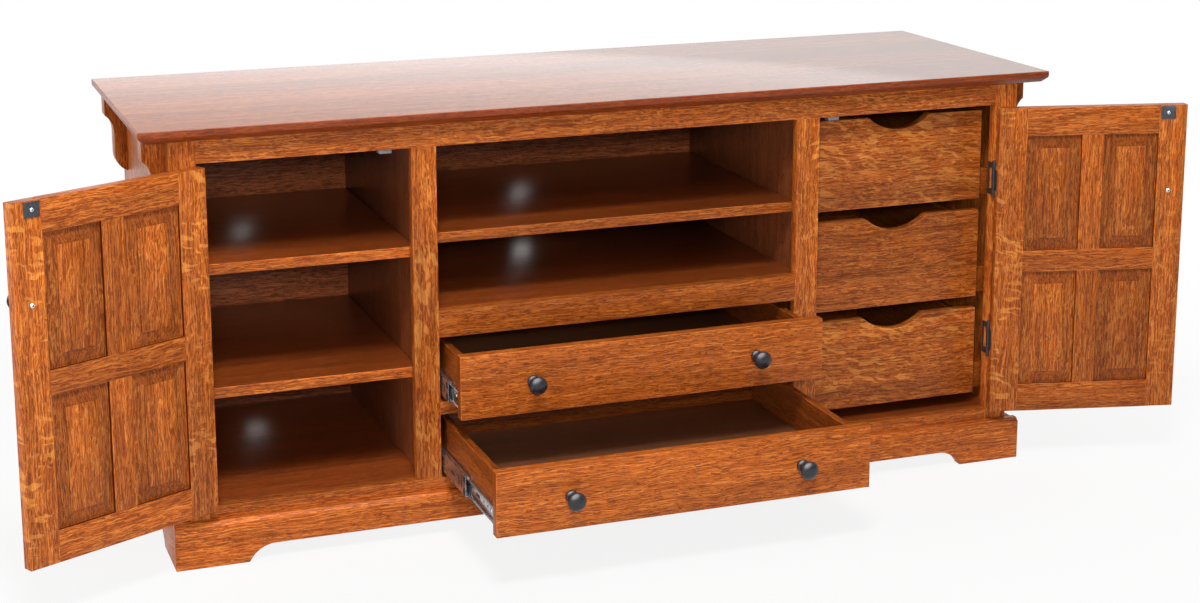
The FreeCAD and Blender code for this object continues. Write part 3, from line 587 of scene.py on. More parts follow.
CABLE_HOLE = 42 * MM
HOLE_SEGMENTS = 40
CUTTER_LENGTH = 200 * MM
LEFT_BAY_HOLES = -582 * MM
MIDDLE_BAY_HOLES = -18 * MM
CABLE_HOLES = (
    (LEFT_BAY_HOLES, 184 * MM),
    (LEFT_BAY_HOLES, 634 * MM),
    (MIDDLE_BAY_HOLES, 464 * MM),
    (MIDDLE_BAY_HOLES, 628 * MM),
)


def bored(skin, spots, radius):
    """Cut round holes from front to back through a panel, at places given across and up."""
    cutter = bmesh.new()
    size = {"segments": HOLE_SEGMENTS, "radius1": radius, "radius2": radius, "depth": CUTTER_LENGTH}
    for x, z in spots:
        move = Matrix.Translation((x, 0, z)) @ Matrix.Rotation(math.pi / 2, 4, "X")
        bmesh.ops.create_cone(cutter, cap_ends=True, matrix=move, **size)
    loose = []
    for name, shape in (("panel before boring", skin), ("hole cutter", cutter)):
        mesh = bpy.data.meshes.new(name)
        shape.to_mesh(mesh)
        shape.free()
        loose.append(in_scene(name, mesh))
    panel, drill = loose
    cut = panel.modifiers.new("holes", "BOOLEAN")
    cut.operation = "DIFFERENCE"
    cut.solver = "EXACT"
    cut.object = drill
    result = settled(panel)
    made = bmesh.new()
    made.from_mesh(result)
    for mesh in (result, panel.data, drill.data):
        bpy.data.meshes.remove(mesh)
    return made


print(len(CABLE_HOLES), "cable holes to bore")

# %% Dress the case


def boards(
    node, woods, slot, along, figure, axes=WORLD_AXES, ease=1.0 * MM, end_limit=0.85, holes=(), dim=None
):
    """Dress a node of boards: woods are its finishes, and dim may pick another slot for a face."""
    skin = merged_copy(node)
    if holes:
        skin = bored(skin, holes, CABLE_HOLE / 2)
    lay_grain(skin, axes, along, figure, end_limit)
    if dim:
        skin.normal_update()
        for face in skin.faces:
            face.material_index = dim(face) or face.material_index
    mark_edges(skin, ease)
    keep(skin, f"{node}_boards", woods, frame["nodes"][node]["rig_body"], node, ease)


UPRIGHT_LIMIT = 0.9
FLOOR_AREA = 0.05


def standing(face):
    """The fourth finish for the upright edges of a board that lies flat."""
    return CORNER_SLOT if abs(face.normal.z) < UPRIGHT_LIMIT else None


def drawer_floor(face):
    """The fourth finish, paler as painted light, for the wide face of a drawer that looks straight up."""
    return CORNER_SLOT if face.normal.z > UPRIGHT_LIMIT and face.calc_area() > FLOOR_AREA else None


boards("top_panel", TOP_WOOD, "oak", RUN_X, figure=0.5, ease=1.4 * MM, dim=standing)
boards("side_panels", OUTSIDE_WOOD, "oak", RUN_Z, figure=0.6)
for shelf in ("fixed_shelf", "left_shelves", "middle_shelf"):
    boards(shelf, SHELF_WOOD, "oak", RUN_X, figure=0.3, ease=1.3 * MM, dim=standing)
for stile in ("end_stiles", "mullions"):
    boards(stile, OUTSIDE_WOOD, "oak", RUN_Z, figure=1.6, ease=0.5 * MM)
boards("top_rail", OUTSIDE_WOOD, "oak", RUN_X, figure=0.9, ease=0.5 * MM)
for rail in ("bottom_rail", "middle_rails", "base_back"):
    boards(rail, OUTSIDE_WOOD, "oak", RUN_X, figure=0.3, ease=0.5 * MM)
boards("base_front", BASE_WOOD, "oak", RUN_X, figure=0.25)
boards("base_sides", BASE_WOOD, "oak", RUN_Y, figure=0.3)
boards("corbels", OUTSIDE_WOOD, "oak", RUN_Z, figure=0.3)
boards("partitions", PARTITION_WOOD, "oak_inside", RUN_Z, figure=0.5)
boards("back_panel", INSIDE_WOOD, "oak_inside", RUN_X, figure=0.35, ease=0.0, holes=CABLE_HOLES)
boards("bottom_panel", BOTTOM_WOOD, "oak_inside", RUN_X, figure=0.3, ease=0.5 * MM)
print("case boards dressed")

# %% [markdown]
# Doors and drawers
#
# A door swings, so its boards are not square to the room. Their grain has to turn with the door, or the
# rails would run at a slant. The angle comes from the hinge joint itself, and the same turn is used for
# every fitting on the door. The faces that look into each raised panel's recess are painted near-black as
# painted shade, and the slopes at the panel's sides are painted a little darker, also as painted shade.
# Drawer fronts get the boldest ribbons on the three inner drawers, as the maker kept the plainer boards
# for the wide ones.

# %% Dress the doors and drawers
LOOK_AHEAD = 12 * MM
SIDEWAYS = 0.3
NEARLY_FLAT = 0.995
SLOPED_END = 0.12


def painted_shade_test(door):
    """A test that picks the faces in a panel's recess, for painted shade, and the slopes at the panel's
    sides, for milder painted shade.
    """
    ways = np.array(door_axes(door))
    corners = np.array([vertex.co for vertex in frame["nodes"][f"{door}_stiles"].data.vertices]) @ ways.T
    low = corners.min(0)
    high = corners.max(0)

    def looks_in(face):
        across, through, up = (abs(part) for part in ways @ np.array(face.normal))
        if through > SIDEWAYS:
            return SLOPE_SLOT if through < NEARLY_FLAT and across > up else None
        ahead = ways @ np.array(face.calc_center_median() + face.normal * LOOK_AHEAD)
        inside_door = low[0] < ahead[0] < high[0] and low[2] < ahead[2] < high[2]
        return CORNER_SLOT if inside_door else None

    return looks_in


for door in DOORS:
    wood = DOOR_WOOD[door]
    hung = {"axes": door_axes(door), "dim": painted_shade_test(door)}
    boards(f"{door}_stiles", wood, "oak", RUN_Z, figure=2.0, **hung)
    boards(f"{door}_rails", wood, "oak", RUN_X, figure=0.3, ease=0.6 * MM, **hung)
    boards(f"{door}_bars", wood, "oak", RUN_Z, figure=0.25, ease=0.6 * MM, **hung)
    boards(f"{door}_panels", wood, "oak", RUN_Z, figure=0.7, ease=0.2 * MM, end_limit=SLOPED_END, **hung)
WIDE_FRONTS = {"upper_drawer": (UPPER_FRONT_WOOD, 0.1), "lower_drawer": (LOWER_FRONT_WOOD, 0.1)}
for drawer in DRAWERS:
    wood, figure = WIDE_FRONTS.get(drawer, (INNER_FRONT_WOOD, 1.0))
    boards(f"{drawer}_front", wood, "oak", RUN_X, figure=figure)
    boards(f"{drawer}_box", BOX_WOOD, "drawer_wood", None, figure=0.3, ease=0.8 * MM, dim=drawer_floor)
boards("slide_spacers", BOX_WOOD, "drawer_wood", RUN_Y, figure=0.2, ease=0.6 * MM)
print("doors and drawers dressed")

# %% [markdown]
# Sheet-metal parts
#
# Slides, hinge leaves, supports, strike plates and catches keep their CAD shape. Each is copied, and all but
# the hinge leaves are eased in the same way as the boards, only with a much smaller round, because folded
# sheet has a tight edge.

# %% Dress the metal parts
LEAF_HEIGHT = 35 * MM


def metal(node, finish, ease=0.3 * MM, name=None, wanted=None):
    """Copy a metal node, or only its wanted parts, with a fine round on its edges."""
    skin = merged_copy(node)
    for part in separate_parts(skin):
        if wanted and not wanted(part):
            bmesh.ops.delete(skin, geom=part, context="VERTS")
    mark_edges(skin, ease)
    body = frame["nodes"][node]["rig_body"]
    keep(skin, name or f"{node}_sheet", (finish,), body, node, ease)


def tall(part):
    """Whether a part is a hinge leaf, which is taller than a knob."""
    heights = [vertex.co.z for vertex in part]
    return max(heights) - min(heights) > LEAF_HEIGHT


metal("slide_outer_members", zinc)
for drawer in DRAWERS:
    metal(f"{drawer}_slide_inner", zinc)
    metal(f"{drawer}_slide_middle", zinc, ease=0.2 * MM)
metal("hinge_frame_leaves", hinge_black, ease=0.0)
metal("shelf_supports", support_steel, ease=0.25 * MM)
metal("magnetic_catches", catch_grey, ease=0.5 * MM)
for door in DOORS:
    metal(f"{door}_strike_plate", plate_grey, ease=0.4 * MM)
    metal(f"{door}_hardware", hinge_black, ease=0.0, name=f"{door}_hinge_leaves", wanted=tall)
print("metal parts dressed")

# %% [markdown]
# Turned knobs
#
# A knob is turned on a lathe, so its shape is one outline spun about an axis. The outline here runs from
# the seat against the wood, through a narrow neck, out to the rim and over the crown. It is drawn with a
# few short curves and spun in small steps, then placed by the CAD knob that it stands for.

# %% Draw an outline and spin it
KNOB_LENGTH = 37 * MM
KNOB_RADIUS = 16 * MM
NECK_RADIUS = 7 * MM
SEAT_RADIUS = 11 * MM
CROWN_HEIGHT = 9 * MM
SEAT_ROUND = 0.4 * MM
RIM_ROUND = 0.4 * MM
CROWN_STEPS = 10
LATHE_STEPS = 48


def curve_points(start, end, bulge, steps):
    """Points of a quarter round from start to end, hollow or full."""
    points = []
    for step in range(steps + 1):
        angle = math.pi / 2 * step / steps
        across = math.sin(angle) if bulge else 1 - math.cos(angle)
        along = 1 - math.cos(angle) if bulge else math.sin(angle)
        points.append((start[0] + (end[0] - start[0]) * across, start[1] + (end[1] - start[1]) * along))
    return points


def knob_outline():
    rim = KNOB_LENGTH - CROWN_HEIGHT
    points = [(0.0, 0.0), (SEAT_RADIUS - SEAT_ROUND, 0.0), (SEAT_RADIUS, 0.5 * MM), (SEAT_RADIUS, 4.0 * MM)]
    points += curve_points((SEAT_RADIUS - SEAT_ROUND, 5.0 * MM), (NECK_RADIUS, 14 * MM), True, 6)
    points += curve_points((NECK_RADIUS, 17 * MM), (KNOB_RADIUS - 0.7 * MM, rim - 0.9 * MM), False, 8)
    points += [(KNOB_RADIUS - 0.1 * MM, rim - 0.3 * MM), (KNOB_RADIUS, rim + RIM_ROUND)]
    for step in range(1, CROWN_STEPS):
        angle = math.pi / 2 * step / CROWN_STEPS
        rise = (CROWN_HEIGHT - RIM_ROUND) * math.sin(angle)
        points.append((KNOB_RADIUS * math.cos(angle), rim + RIM_ROUND + rise))
    points.append((0.0, KNOB_LENGTH))
    return points


def spun(skin, outline, move, steps=LATHE_STEPS):
    """Spin an outline of (radius, height) about the upright axis, then move the result into place."""
    rings = []
    for radius, height in outline:
        count = steps if radius > 0 else 1
        ring = []
        for step in range(count):
            angle = 2 * math.pi * step / steps
            place = Vector((radius * math.cos(angle), radius * math.sin(angle), height))
            ring.append(skin.verts.new(move @ place))
        rings.append(ring)
    faces = []
    for lower, upper in zip(rings, rings[1:]):
        for step in range(steps):
            corners = []
            for ring, number in ((lower, step), (lower, step + 1), (upper, step + 1), (upper, step)):
                vertex = ring[number % len(ring)]
                if vertex not in corners:
                    corners.append(vertex)
            faces.append(skin.faces.new(corners))
    bmesh.ops.recalc_face_normals(skin, faces=faces)


def facing(place, direction):
    """A move that puts an upright shape at a place with its axis along a direction."""
    return Matrix.Translation(place) @ Vector(direction).to_track_quat("Z", "Y").to_matrix().to_4x4()


def part_boxes(node):
    """Lowest and highest corner of each separate part of a CAD node."""
    skin = merged_copy(node)
    boxes = []
    for part in separate_parts(skin):
        places = np.array([vertex.co for vertex in part])
        boxes.append((Vector(places.min(0)), Vector(places.max(0))))
    skin.free()
    return sorted(boxes, key=lambda box: tuple(box[0]))


print(len(knob_outline()), "points in the knob's outline")

# %% Turn the knobs
drawer_knob_places = {}
for drawer in WIDE_DRAWERS:
    skin = bmesh.new()
    drawer_knob_places[drawer] = []
    for low, high in part_boxes(f"{drawer}_knobs"):
        seat = Vector(((low.x + high.x) / 2, high.y, (low.z + high.z) / 2))
        spun(skin, knob_outline(), facing(seat, (0, -1, 0)))
        drawer_knob_places[drawer].append(seat)
    keep(skin, f"{drawer}_turned_knobs", (knob_black,), drawer, f"{drawer}_knobs")

DOOR_KNOB_INSET = 30 * MM
DOOR_KNOB_HEIGHT = 531 * MM
DOOR_FACE = -540 * MM
DOOR_BACK = -520 * MM
DOOR_FREE_EDGE = 389 * MM
DOOR_SIDE = {"left_door": -1, "right_door": 1}
door_knob_x = {door: side * (DOOR_FREE_EDGE + DOOR_KNOB_INSET) for door, side in DOOR_SIDE.items()}
for door in DOORS:
    skin = bmesh.new()
    seat = Vector((door_knob_x[door], DOOR_FACE, DOOR_KNOB_HEIGHT))
    spun(skin, knob_outline(), opened(door) @ facing(seat, (0, -1, 0)))
    keep(skin, f"{door}_turned_knob", (knob_black,), door, f"{door}_hardware")
print("six knobs turned")

# %% [markdown]
# Hinge pins
#
# Each hinge pin ends in a small turned ball above and below its knuckles. They are spun like the knobs,
# from a much smaller outline, and stay with the frame because the pin does.

# %% Turn the pin tips
PIN_TIP = ((3.2, -0.2), (3.4, 0.6), (2.0, 1.2), (2.7, 2.0), (3.2, 3.1), (2.9, 4.3), (1.7, 5.3), (0.0, 5.7))
TIP_STEPS = 20
tip_outline = [(0.0, -0.2 * MM)] + [(radius * MM, height * MM) for radius, height in PIN_TIP]
skin = bmesh.new()
hinge_boxes = part_boxes("hinge_frame_leaves")
for low, high in hinge_boxes:
    pin = joints["left_door_hinge" if low.x < 0 else "right_door_hinge"]["pos_m"]
    spun(skin, tip_outline, facing((pin[0], pin[1], high.z), (0, 0, 1)), TIP_STEPS)
    spun(skin, tip_outline, facing((pin[0], pin[1], low.z), (0, 0, -1)), TIP_STEPS)
keep(skin, "hinge_pin_tips", (hinge_black,), "case", None)
print(2 * len(hinge_boxes), "pin tips")

# %% [markdown]
# What repeats: screws, cut-outs and balls
#
# One screw head could be modelled and copied by hand to every spot, but a change would then have to be
# made dozens of times. A Geometry Nodes tree does it once: the script gives it a cloud of spots, each with
# the direction it faces and the way its slot lies, and the tree stands a shape on every one. The result is
# made a plain mesh for each body, because the parts have to travel with that body.

# %% Stand a shape on every spot
NUMBER, FINISH = "NodeSocketFloat", "NodeSocketMaterial"


def new_tree(name, inputs):
    """An empty tree with named inputs, and the sockets that bring them in."""
    tree = bpy.data.node_groups.new(name, "GeometryNodeTree")
    tree.interface.new_socket("Geometry", in_out="INPUT", socket_type="NodeSocketGeometry")
    for label, kind in inputs:
        tree.interface.new_socket(label, in_out="INPUT", socket_type=kind)
    tree.interface.new_socket("Geometry", in_out="OUTPUT", socket_type="NodeSocketGeometry")
    return tree, put(tree, "NodeGroupInput").outputs


def attribute(tree, name, kind):
    """A value that every point or face carries under this name."""
    return put(tree, "GeometryNodeInputNamedAttribute", {"Name": name}, data_type=kind).outputs["Attribute"]


def joined(tree, parts):
    """All the parts as one geometry."""
    made = put(tree, "GeometryNodeJoinGeometry")
    for part in parts:
        tree.links.new(part, made.inputs[0])
    return made.outputs[0]


def stood_on_spots(tree, spots, shape):
    """Stand a shape on every spot, then turn the copies into real geometry."""
    turned = None
    for name, settings in (("facing", {"axis": "Z"}), ("lying", {"axis": "X", "pivot_axis": "Z"})):
        inputs = {"Vector": attribute(tree, name, "FLOAT_VECTOR")}
        if turned:
            inputs["Rotation"] = turned
        turned = put(tree, "FunctionNodeAlignRotationToVector", inputs, **settings).outputs[0]
    inputs = {"Points": spots, "Instance": shape, "Rotation": turned}
    placed = put(tree, "GeometryNodeInstanceOnPoints", inputs).outputs[0]
    return put(tree, "GeometryNodeRealizeInstances", {"Geometry": placed}).outputs[0]


def coated(tree, geometry, finish):
    return put(tree, "GeometryNodeSetMaterial", {"Geometry": geometry, "Material": finish}).outputs[0]


print("tree helpers ready")

# %% Trees for screws, cut-outs and balls
# Parts of a screw head's radius, and for the last one of its height
CROWN_SHARE, CROSS_LENGTH, CROSS_WIDTH, CROSS_HEIGHT = 0.68, 1.15, 0.26, 0.2


def screw_tree():
    """Low domed heads with a cross recess, whose dark bars paint the shade in the recess."""
    inputs = (("Head Diameter", NUMBER), ("Head Height", NUMBER), ("Metal", FINISH), ("Recess", FINISH))
    tree, given = new_tree("screw heads", inputs)
    radius = calc(tree, "MULTIPLY", given["Head Diameter"], 0.5)
    height = given["Head Height"]
    crown = calc(tree, "MULTIPLY", radius, CROWN_SHARE)
    dome = {"Vertices": 20, "Side Segments": 1, "Radius Top": crown, "Radius Bottom": radius, "Depth": height}
    parts = [put(tree, "GeometryNodeMeshCone", dome).outputs["Mesh"]]
    long_side = calc(tree, "MULTIPLY", radius, CROSS_LENGTH)
    short_side = calc(tree, "MULTIPLY", radius, CROSS_WIDTH)
    thin = calc(tree, "MULTIPLY", height, CROSS_HEIGHT)
    top = put(tree, "ShaderNodeCombineXYZ", {2: height}).outputs[0]
    for size in ((long_side, short_side), (short_side, long_side)):
        bar_size = put(tree, "ShaderNodeCombineXYZ", {0: size[0], 1: size[1], 2: thin}).outputs[0]
        bar = put(tree, "GeometryNodeMeshCube", {"Size": bar_size}).outputs["Mesh"]
        bar = put(tree, "GeometryNodeTransform", {"Geometry": bar, "Translation": top}).outputs[0]
        mark = {"Geometry": bar, "Name": "recess", "Value": True}
        bar = put(tree, "GeometryNodeStoreNamedAttribute", mark, data_type="BOOLEAN", domain="FACE")
        parts.append(bar.outputs[0])
    heads = stood_on_spots(tree, given["Geometry"], joined(tree, parts))
    heads = coated(tree, heads, given["Metal"])
    in_recess = attribute(tree, "recess", "BOOLEAN")
    slot_set = {"Geometry": heads, "Selection": in_recess, "Material": given["Recess"]}
    put(tree, "NodeGroupOutput", {"Geometry": put(tree, "GeometryNodeSetMaterial", slot_set).outputs[0]})
    return tree


CUTOUT_DEPTH = 0.4 * MM


def cutout_tree():
    """Thin dark plates with rounded ends, let into the surface where it is punched or bored: painted shade
    where the hole is.
    """
    inputs = (("Length", NUMBER), ("Width", NUMBER), ("Round", NUMBER), ("Dark", FINISH))
    tree, given = new_tree("punched cut-outs", inputs)
    size = {"Width": given["Length"], "Height": given["Width"]}
    outline = put(tree, "GeometryNodeCurvePrimitiveQuadrilateral", size).outputs[0]
    rounding = {"Curve": outline, "Radius": given["Round"], "Limit Radius": True, "Count": 4}
    outline = put(tree, "GeometryNodeFilletCurve", rounding, mode="POLY").outputs[0]
    plate = put(tree, "GeometryNodeFillCurve", {"Curve": outline}, mode="NGONS").outputs[0]
    under = put(tree, "GeometryNodeFlipFaces", {"Mesh": plate}).outputs[0]
    depth = {"Mesh": under, "Offset Scale": CUTOUT_DEPTH}
    sunk = put(tree, "GeometryNodeExtrudeMesh", depth, mode="FACES").outputs["Mesh"]
    both = {"Geometry": joined(tree, (plate, sunk)), "Distance": WELD}
    closed = put(tree, "GeometryNodeMergeByDistance", both).outputs[0]
    plates = stood_on_spots(tree, given["Geometry"], closed)
    put(tree, "NodeGroupOutput", {"Geometry": coated(tree, plates, given["Dark"])})
    return tree


def ball_tree():
    """Small steel balls."""
    tree, given = new_tree("slide balls", (("Diameter", NUMBER), ("Steel", FINISH)))
    radius = calc(tree, "MULTIPLY", given["Diameter"], 0.5)
    size = {"Segments": 8, "Rings": 5, "Radius": radius}
    ball = put(tree, "GeometryNodeMeshUVSphere", size).outputs["Mesh"]
    ball = put(tree, "GeometryNodeSetShadeSmooth", {"Geometry": ball}).outputs[0]
    balls = stood_on_spots(tree, given["Geometry"], ball)
    put(tree, "NodeGroupOutput", {"Geometry": coated(tree, balls, given["Steel"])})
    return tree


SCREWS, CUTOUTS, BALLS = screw_tree(), cutout_tree(), ball_tree()
for tree in (SCREWS, CUTOUTS, BALLS):
    print(tree.name, "tree with", len(tree.nodes), "nodes")

# %% Run a tree over its spots


def scatter(name, tree, spots, settings, body):
    """Run a tree over (place, facing, lying) spots and keep the outcome as a plain mesh on one body."""
    cloud = bpy.data.meshes.new(name)
    cloud.from_pydata([tuple(spot[0]) for spot in spots], [], [])
    for number, way in ((1, "facing"), (2, "lying")):
        values = [part for spot in spots for part in spot[number]]
        cloud.attributes.new(way, "FLOAT_VECTOR", "POINT").data.foreach_set("vector", values)
    piece = in_scene(name, cloud)
    growth = piece.modifiers.new("scatter", "NODES")
    growth.node_group = tree
    for item in tree.interface.items_tree:
        if item.in_out == "INPUT" and item.name in settings:
            growth[item.identifier] = settings[item.name]
    finished = settled(piece)
    piece.modifiers.remove(growth)
    piece.data = finished
    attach(piece, body)
    print(name, len(spots), "spots", len(finished.polygons), "faces")


print("ready to fit what repeats")

# %% [markdown]
# Where the screws go
#
# Positions are worked out on the closed door and then carried round by the same turn as the door, so a
# screw always sits square on its plate. Each knob is held by one bright screw from behind, and small dark
# screws run round the back panel and down it where the partitions meet it.

# %% Screw on the hinges, plates and knobs
ALONG_X, ALONG_Y, ALONG_Z = (1, 0, 0), (0, 1, 0), (0, 0, 1)
FRAME_LEAF_FACE = 752.8 * MM
DOOR_LEAF_FACE = 753.2 * MM
FRAME_LEAF_SCREW_Y = -533 * MM
DOOR_LEAF_SCREW_Y = -537 * MM
LEAF_STRIP = 5.5 * MM
LEAF_SCREW_STEP = 10 * MM


def screw(diameter, height, steel, recess):
    """What the screw tree needs for one kind of screw, in millimetres."""
    return {"Head Diameter": diameter * MM, "Head Height": height * MM, "Metal": steel, "Recess": recess}


# Each screw's recess finish paints the shade in its cross recess.
BLACK_SCREW = screw(5.6, 0.4, hinge_black, hole_shade_and_clip_black)
BRIGHT_SCREW = screw(8.5, 1.5, bright_zinc, plate_grey)
SLIDE_SCREW = screw(7.0, 1.3, bright_zinc, plate_grey)
PANEL_SCREW = screw(5.0, 0.6, plate_grey, hole_shade_and_clip_black)

frame_leaf_spots = []
for low, high in hinge_boxes:
    side = math.copysign(1, low.x)
    for height in (low.z + LEAF_STRIP, high.z - LEAF_STRIP):
        place = (side * FRAME_LEAF_FACE, FRAME_LEAF_SCREW_Y, height)
        frame_leaf_spots.append((place, (-side, 0, 0), ALONG_Y))
scatter("hinge_frame_screws", SCREWS, frame_leaf_spots, BLACK_SCREW, "case")


def on_door(door, place, direction, lying):
    """A spot given on the closed door, carried to the open one."""
    move = opened(door)
    turned = move.to_3x3()
    return move @ Vector(place), turned @ Vector(direction), turned @ Vector(lying)


STRIKE_INSET = 37 * MM
STRIKE_MIDDLE = 682 * MM
STRIKE_FACE = -518.5 * MM
for door, side in DOOR_SIDE.items():
    leaf_spots = []
    for low, high in hinge_boxes:
        if low.x * side > 0:
            middle = (low.z + high.z) / 2
            for height in (middle - LEAF_SCREW_STEP, middle + LEAF_SCREW_STEP):
                place = (side * DOOR_LEAF_FACE, DOOR_LEAF_SCREW_Y, height)
                leaf_spots.append(on_door(door, place, (side, 0, 0), ALONG_Z))
    scatter(f"{door}_leaf_screws", SCREWS, leaf_spots, BLACK_SCREW, door)
    plate_middle = (side * (DOOR_FREE_EDGE + STRIKE_INSET), STRIKE_FACE, STRIKE_MIDDLE)
    plate_spot = on_door(door, plate_middle, ALONG_Y, ALONG_Z)
    knob_spot = on_door(door, (door_knob_x[door], DOOR_BACK, DOOR_KNOB_HEIGHT), ALONG_Y, (1, 0, 1))
    scatter(f"{door}_strike_screw", SCREWS, [plate_spot], SLIDE_SCREW, door)
    scatter(f"{door}_knob_screw", SCREWS, [knob_spot], BRIGHT_SCREW, door)

FRONT_THICKNESS = Vector((0, 20 * MM, 0))
for drawer in WIDE_DRAWERS:
    spots = [(seat + FRONT_THICKNESS, ALONG_Y, (1, 0, 1)) for seat in drawer_knob_places[drawer]]
    scatter(f"{drawer}_knob_screws", SCREWS, spots, BRIGHT_SCREW, drawer)

# %% Screw on the back panel
COLUMNS, ROWS = 12, 6
SIDE_INSET, TOP_INSET = 12 * MM, 10 * MM
PARTITION_X = 365 * MM
low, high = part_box("back_panel")
panel_screws = []
for step in range(COLUMNS):
    across = low.x + SIDE_INSET + (high.x - low.x - 2 * SIDE_INSET) * step / (COLUMNS - 1)
    for height in (low.z + TOP_INSET, high.z - TOP_INSET):
        panel_screws.append(((across, high.y, height), ALONG_Y, ALONG_X))
for step in range(1, ROWS):
    height = low.z + (high.z - low.z) * step / ROWS
    for across in (low.x + SIDE_INSET, -PARTITION_X, PARTITION_X, high.x - SIDE_INSET):
        panel_screws.append(((across, high.y, height), ALONG_Y, ALONG_X))
scatter("back_panel_screws", SCREWS, panel_screws, PANEL_SCREW, "case")

# %% [markdown]
# Slide details
#
# Each slide is three zinc channels, one inside the other, that run on rows of balls. The middle channel
# has punched windows and dark stop clips near its front end. The drawer's own channel has spare holes, and
# two screws near the front, where a fitter can reach them. The windows, slots and holes are thin dark
# plates, painted shade where the openings are. All of it shows once a drawer is pulled out.

# %% Sizes and places on a slide
SHEET = 1.2 * MM
SKIN_GAP = 0.06 * MM
LONG_SLIDE = 300 * MM
BALL_PITCH = 7 * MM
BALL_ROW = {"Diameter": 2.6 * MM, "Steel": bright_zinc}
CLIP_DEPTH, CLIP_ROUND = 0.8 * MM, 0.3 * MM
CLIP_FRONT, CLIP_BACK = 1 * MM, 12 * MM
CLIP_MARGIN, CLIP_GAP = 2 * MM, 5 * MM
SCREW_REACH = (20 * MM, 37 * MM)
HOLE_REACH = (56 * MM, 78 * MM, 150 * MM, 240 * MM)
SLOT_REACH = (110 * MM, 195 * MM, 300 * MM)
WINDOW_REACH = (24 * MM, 40 * MM)
MIDDLE_SLOT_REACH = (75 * MM, 150 * MM, 225 * MM, 300 * MM, 375 * MM)


def cutout(length, width, corner):
    """What the cut-out tree needs for one kind of opening, in millimetres."""
    return {"Length": length * MM, "Width": width * MM, "Round": corner * MM, "Dark": hole_shade_and_clip_black}


ROUND_HOLE, LONG_SLOT, WINDOW = cutout(5, 5, 2.45), cutout(22, 6, 2.9), cutout(9, 15, 1.5)


def outward(low, high, drawer):
    """Which way a slide on this drawer faces: to the left or to the right."""
    box_low, box_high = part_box(f"{drawer}_box")
    return math.copysign(1, (low.x + high.x) - (box_low.x + box_high.x))


def clip(skin, low, high):
    """A small dark box with rounded corners."""
    middle, size = (low + high) / 2, high - low
    move = Matrix.Translation(middle) @ Matrix.Diagonal((*size, 1))
    made = bmesh.ops.create_cube(skin, size=1, matrix=move)["verts"]
    edges = list({edge for vertex in made for edge in vertex.link_edges})
    bmesh.ops.bevel(skin, geom=edges, offset=CLIP_ROUND, segments=2, profile=0.5, affect="EDGES")


def in_row(face, low, high, side, reaches):
    """Spots on a slide's face, halfway up, at these distances from its front end."""
    height = (low.z + high.z) / 2
    return [((face, low.y + reach, height), (side, 0, 0), ALONG_Y) for reach in reaches]


print(len(HOLE_REACH) + len(SLOT_REACH), "openings in each drawer's own channel")

# %% Add slots, clips, screws and balls to the slides
for drawer in DRAWERS:
    screws, holes, slots, windows, middle_slots, balls = [], [], [], [], [], []
    clips = bmesh.new()
    for low, high in part_boxes(f"{drawer}_slide_inner"):
        side = outward(low, high, drawer)
        face = (high.x if side < 0 else low.x) + side * SHEET
        screws += in_row(face, low, high, side, SCREW_REACH)
        holes += in_row(face + side * SKIN_GAP, low, high, side, HOLE_REACH)
        slots += in_row(face + side * SKIN_GAP, low, high, side, SLOT_REACH)
    for low, high in part_boxes(f"{drawer}_slide_middle"):
        side = outward(low, high, drawer)
        length = high.y - low.y
        height = (low.z + high.z) / 2
        if length < LONG_SLIDE:
            count = int(length / BALL_PITCH)
            for step in range(count):
                place = ((low.x + high.x) / 2, low.y + (step + 0.5) * length / count, height)
                balls.append((place, ALONG_Z, ALONG_X))
            continue
        face = (low.x if side < 0 else high.x) + side * SKIN_GAP
        windows += in_row(face, low, high, side, WINDOW_REACH)
        middle_slots += in_row(face, low, high, side, MIDDLE_SLOT_REACH)
        near, far = sorted((face, face + side * CLIP_DEPTH))
        below = (low.z + CLIP_MARGIN, height - CLIP_GAP)
        above = (height + CLIP_GAP, high.z - CLIP_MARGIN)
        for bottom, top in (below, above):
            clip(clips, Vector((near, low.y + CLIP_FRONT, bottom)), Vector((far, low.y + CLIP_BACK, top)))
    middle_body = f"{drawer}_slides"
    scatter(f"{drawer}_slide_screws", SCREWS, screws, SLIDE_SCREW, drawer)
    scatter(f"{drawer}_slide_holes", CUTOUTS, holes, ROUND_HOLE, drawer)
    scatter(f"{drawer}_slide_slots", CUTOUTS, slots, LONG_SLOT, drawer)
    scatter(f"{drawer}_middle_windows", CUTOUTS, windows, WINDOW, middle_body)
    scatter(f"{drawer}_middle_slots", CUTOUTS, middle_slots, LONG_SLOT, middle_body)
    scatter(f"{drawer}_slide_balls", BALLS, balls, BALL_ROW, middle_body)
    keep(clips, f"{drawer}_stop_clips", (hole_shade_and_clip_black,), middle_body, None)

# %% [markdown]
# Spare shelf-pin holes
#
# The loose shelves can be moved up or down, so the rows of pins go on above and below each shelf as spare
# holes in the wall, one every 32 mm, which is the usual step for boring them. Each hole is a thin dark
# plate, painted shade where the hole is.

# %% Put painted-shade plates at the spare pin holes
PIN_STEP = 32 * MM
PIN_STEPS = (-3, -2, -1, 1, 2, 3)
walls = []
for node in ("partitions", "side_panels"):
    walls += [edge for low, high in part_boxes(node) for edge in (low.x, high.x)]
pin_holes = []
for low, high in part_boxes("shelf_supports"):
    on_left = min(abs(low.x - wall) for wall in walls) < min(abs(high.x - wall) for wall in walls)
    side = 1 if on_left else -1
    face = (low.x if on_left else high.x) + side * SKIN_GAP
    middle = (low + high) / 2
    for step in PIN_STEPS:
        pin_holes.append(((face, middle.y, middle.z + step * PIN_STEP), (side, 0, 0), ALONG_Y))
scatter("shelf_pin_holes", CUTOUTS, pin_holes, ROUND_HOLE, "case")

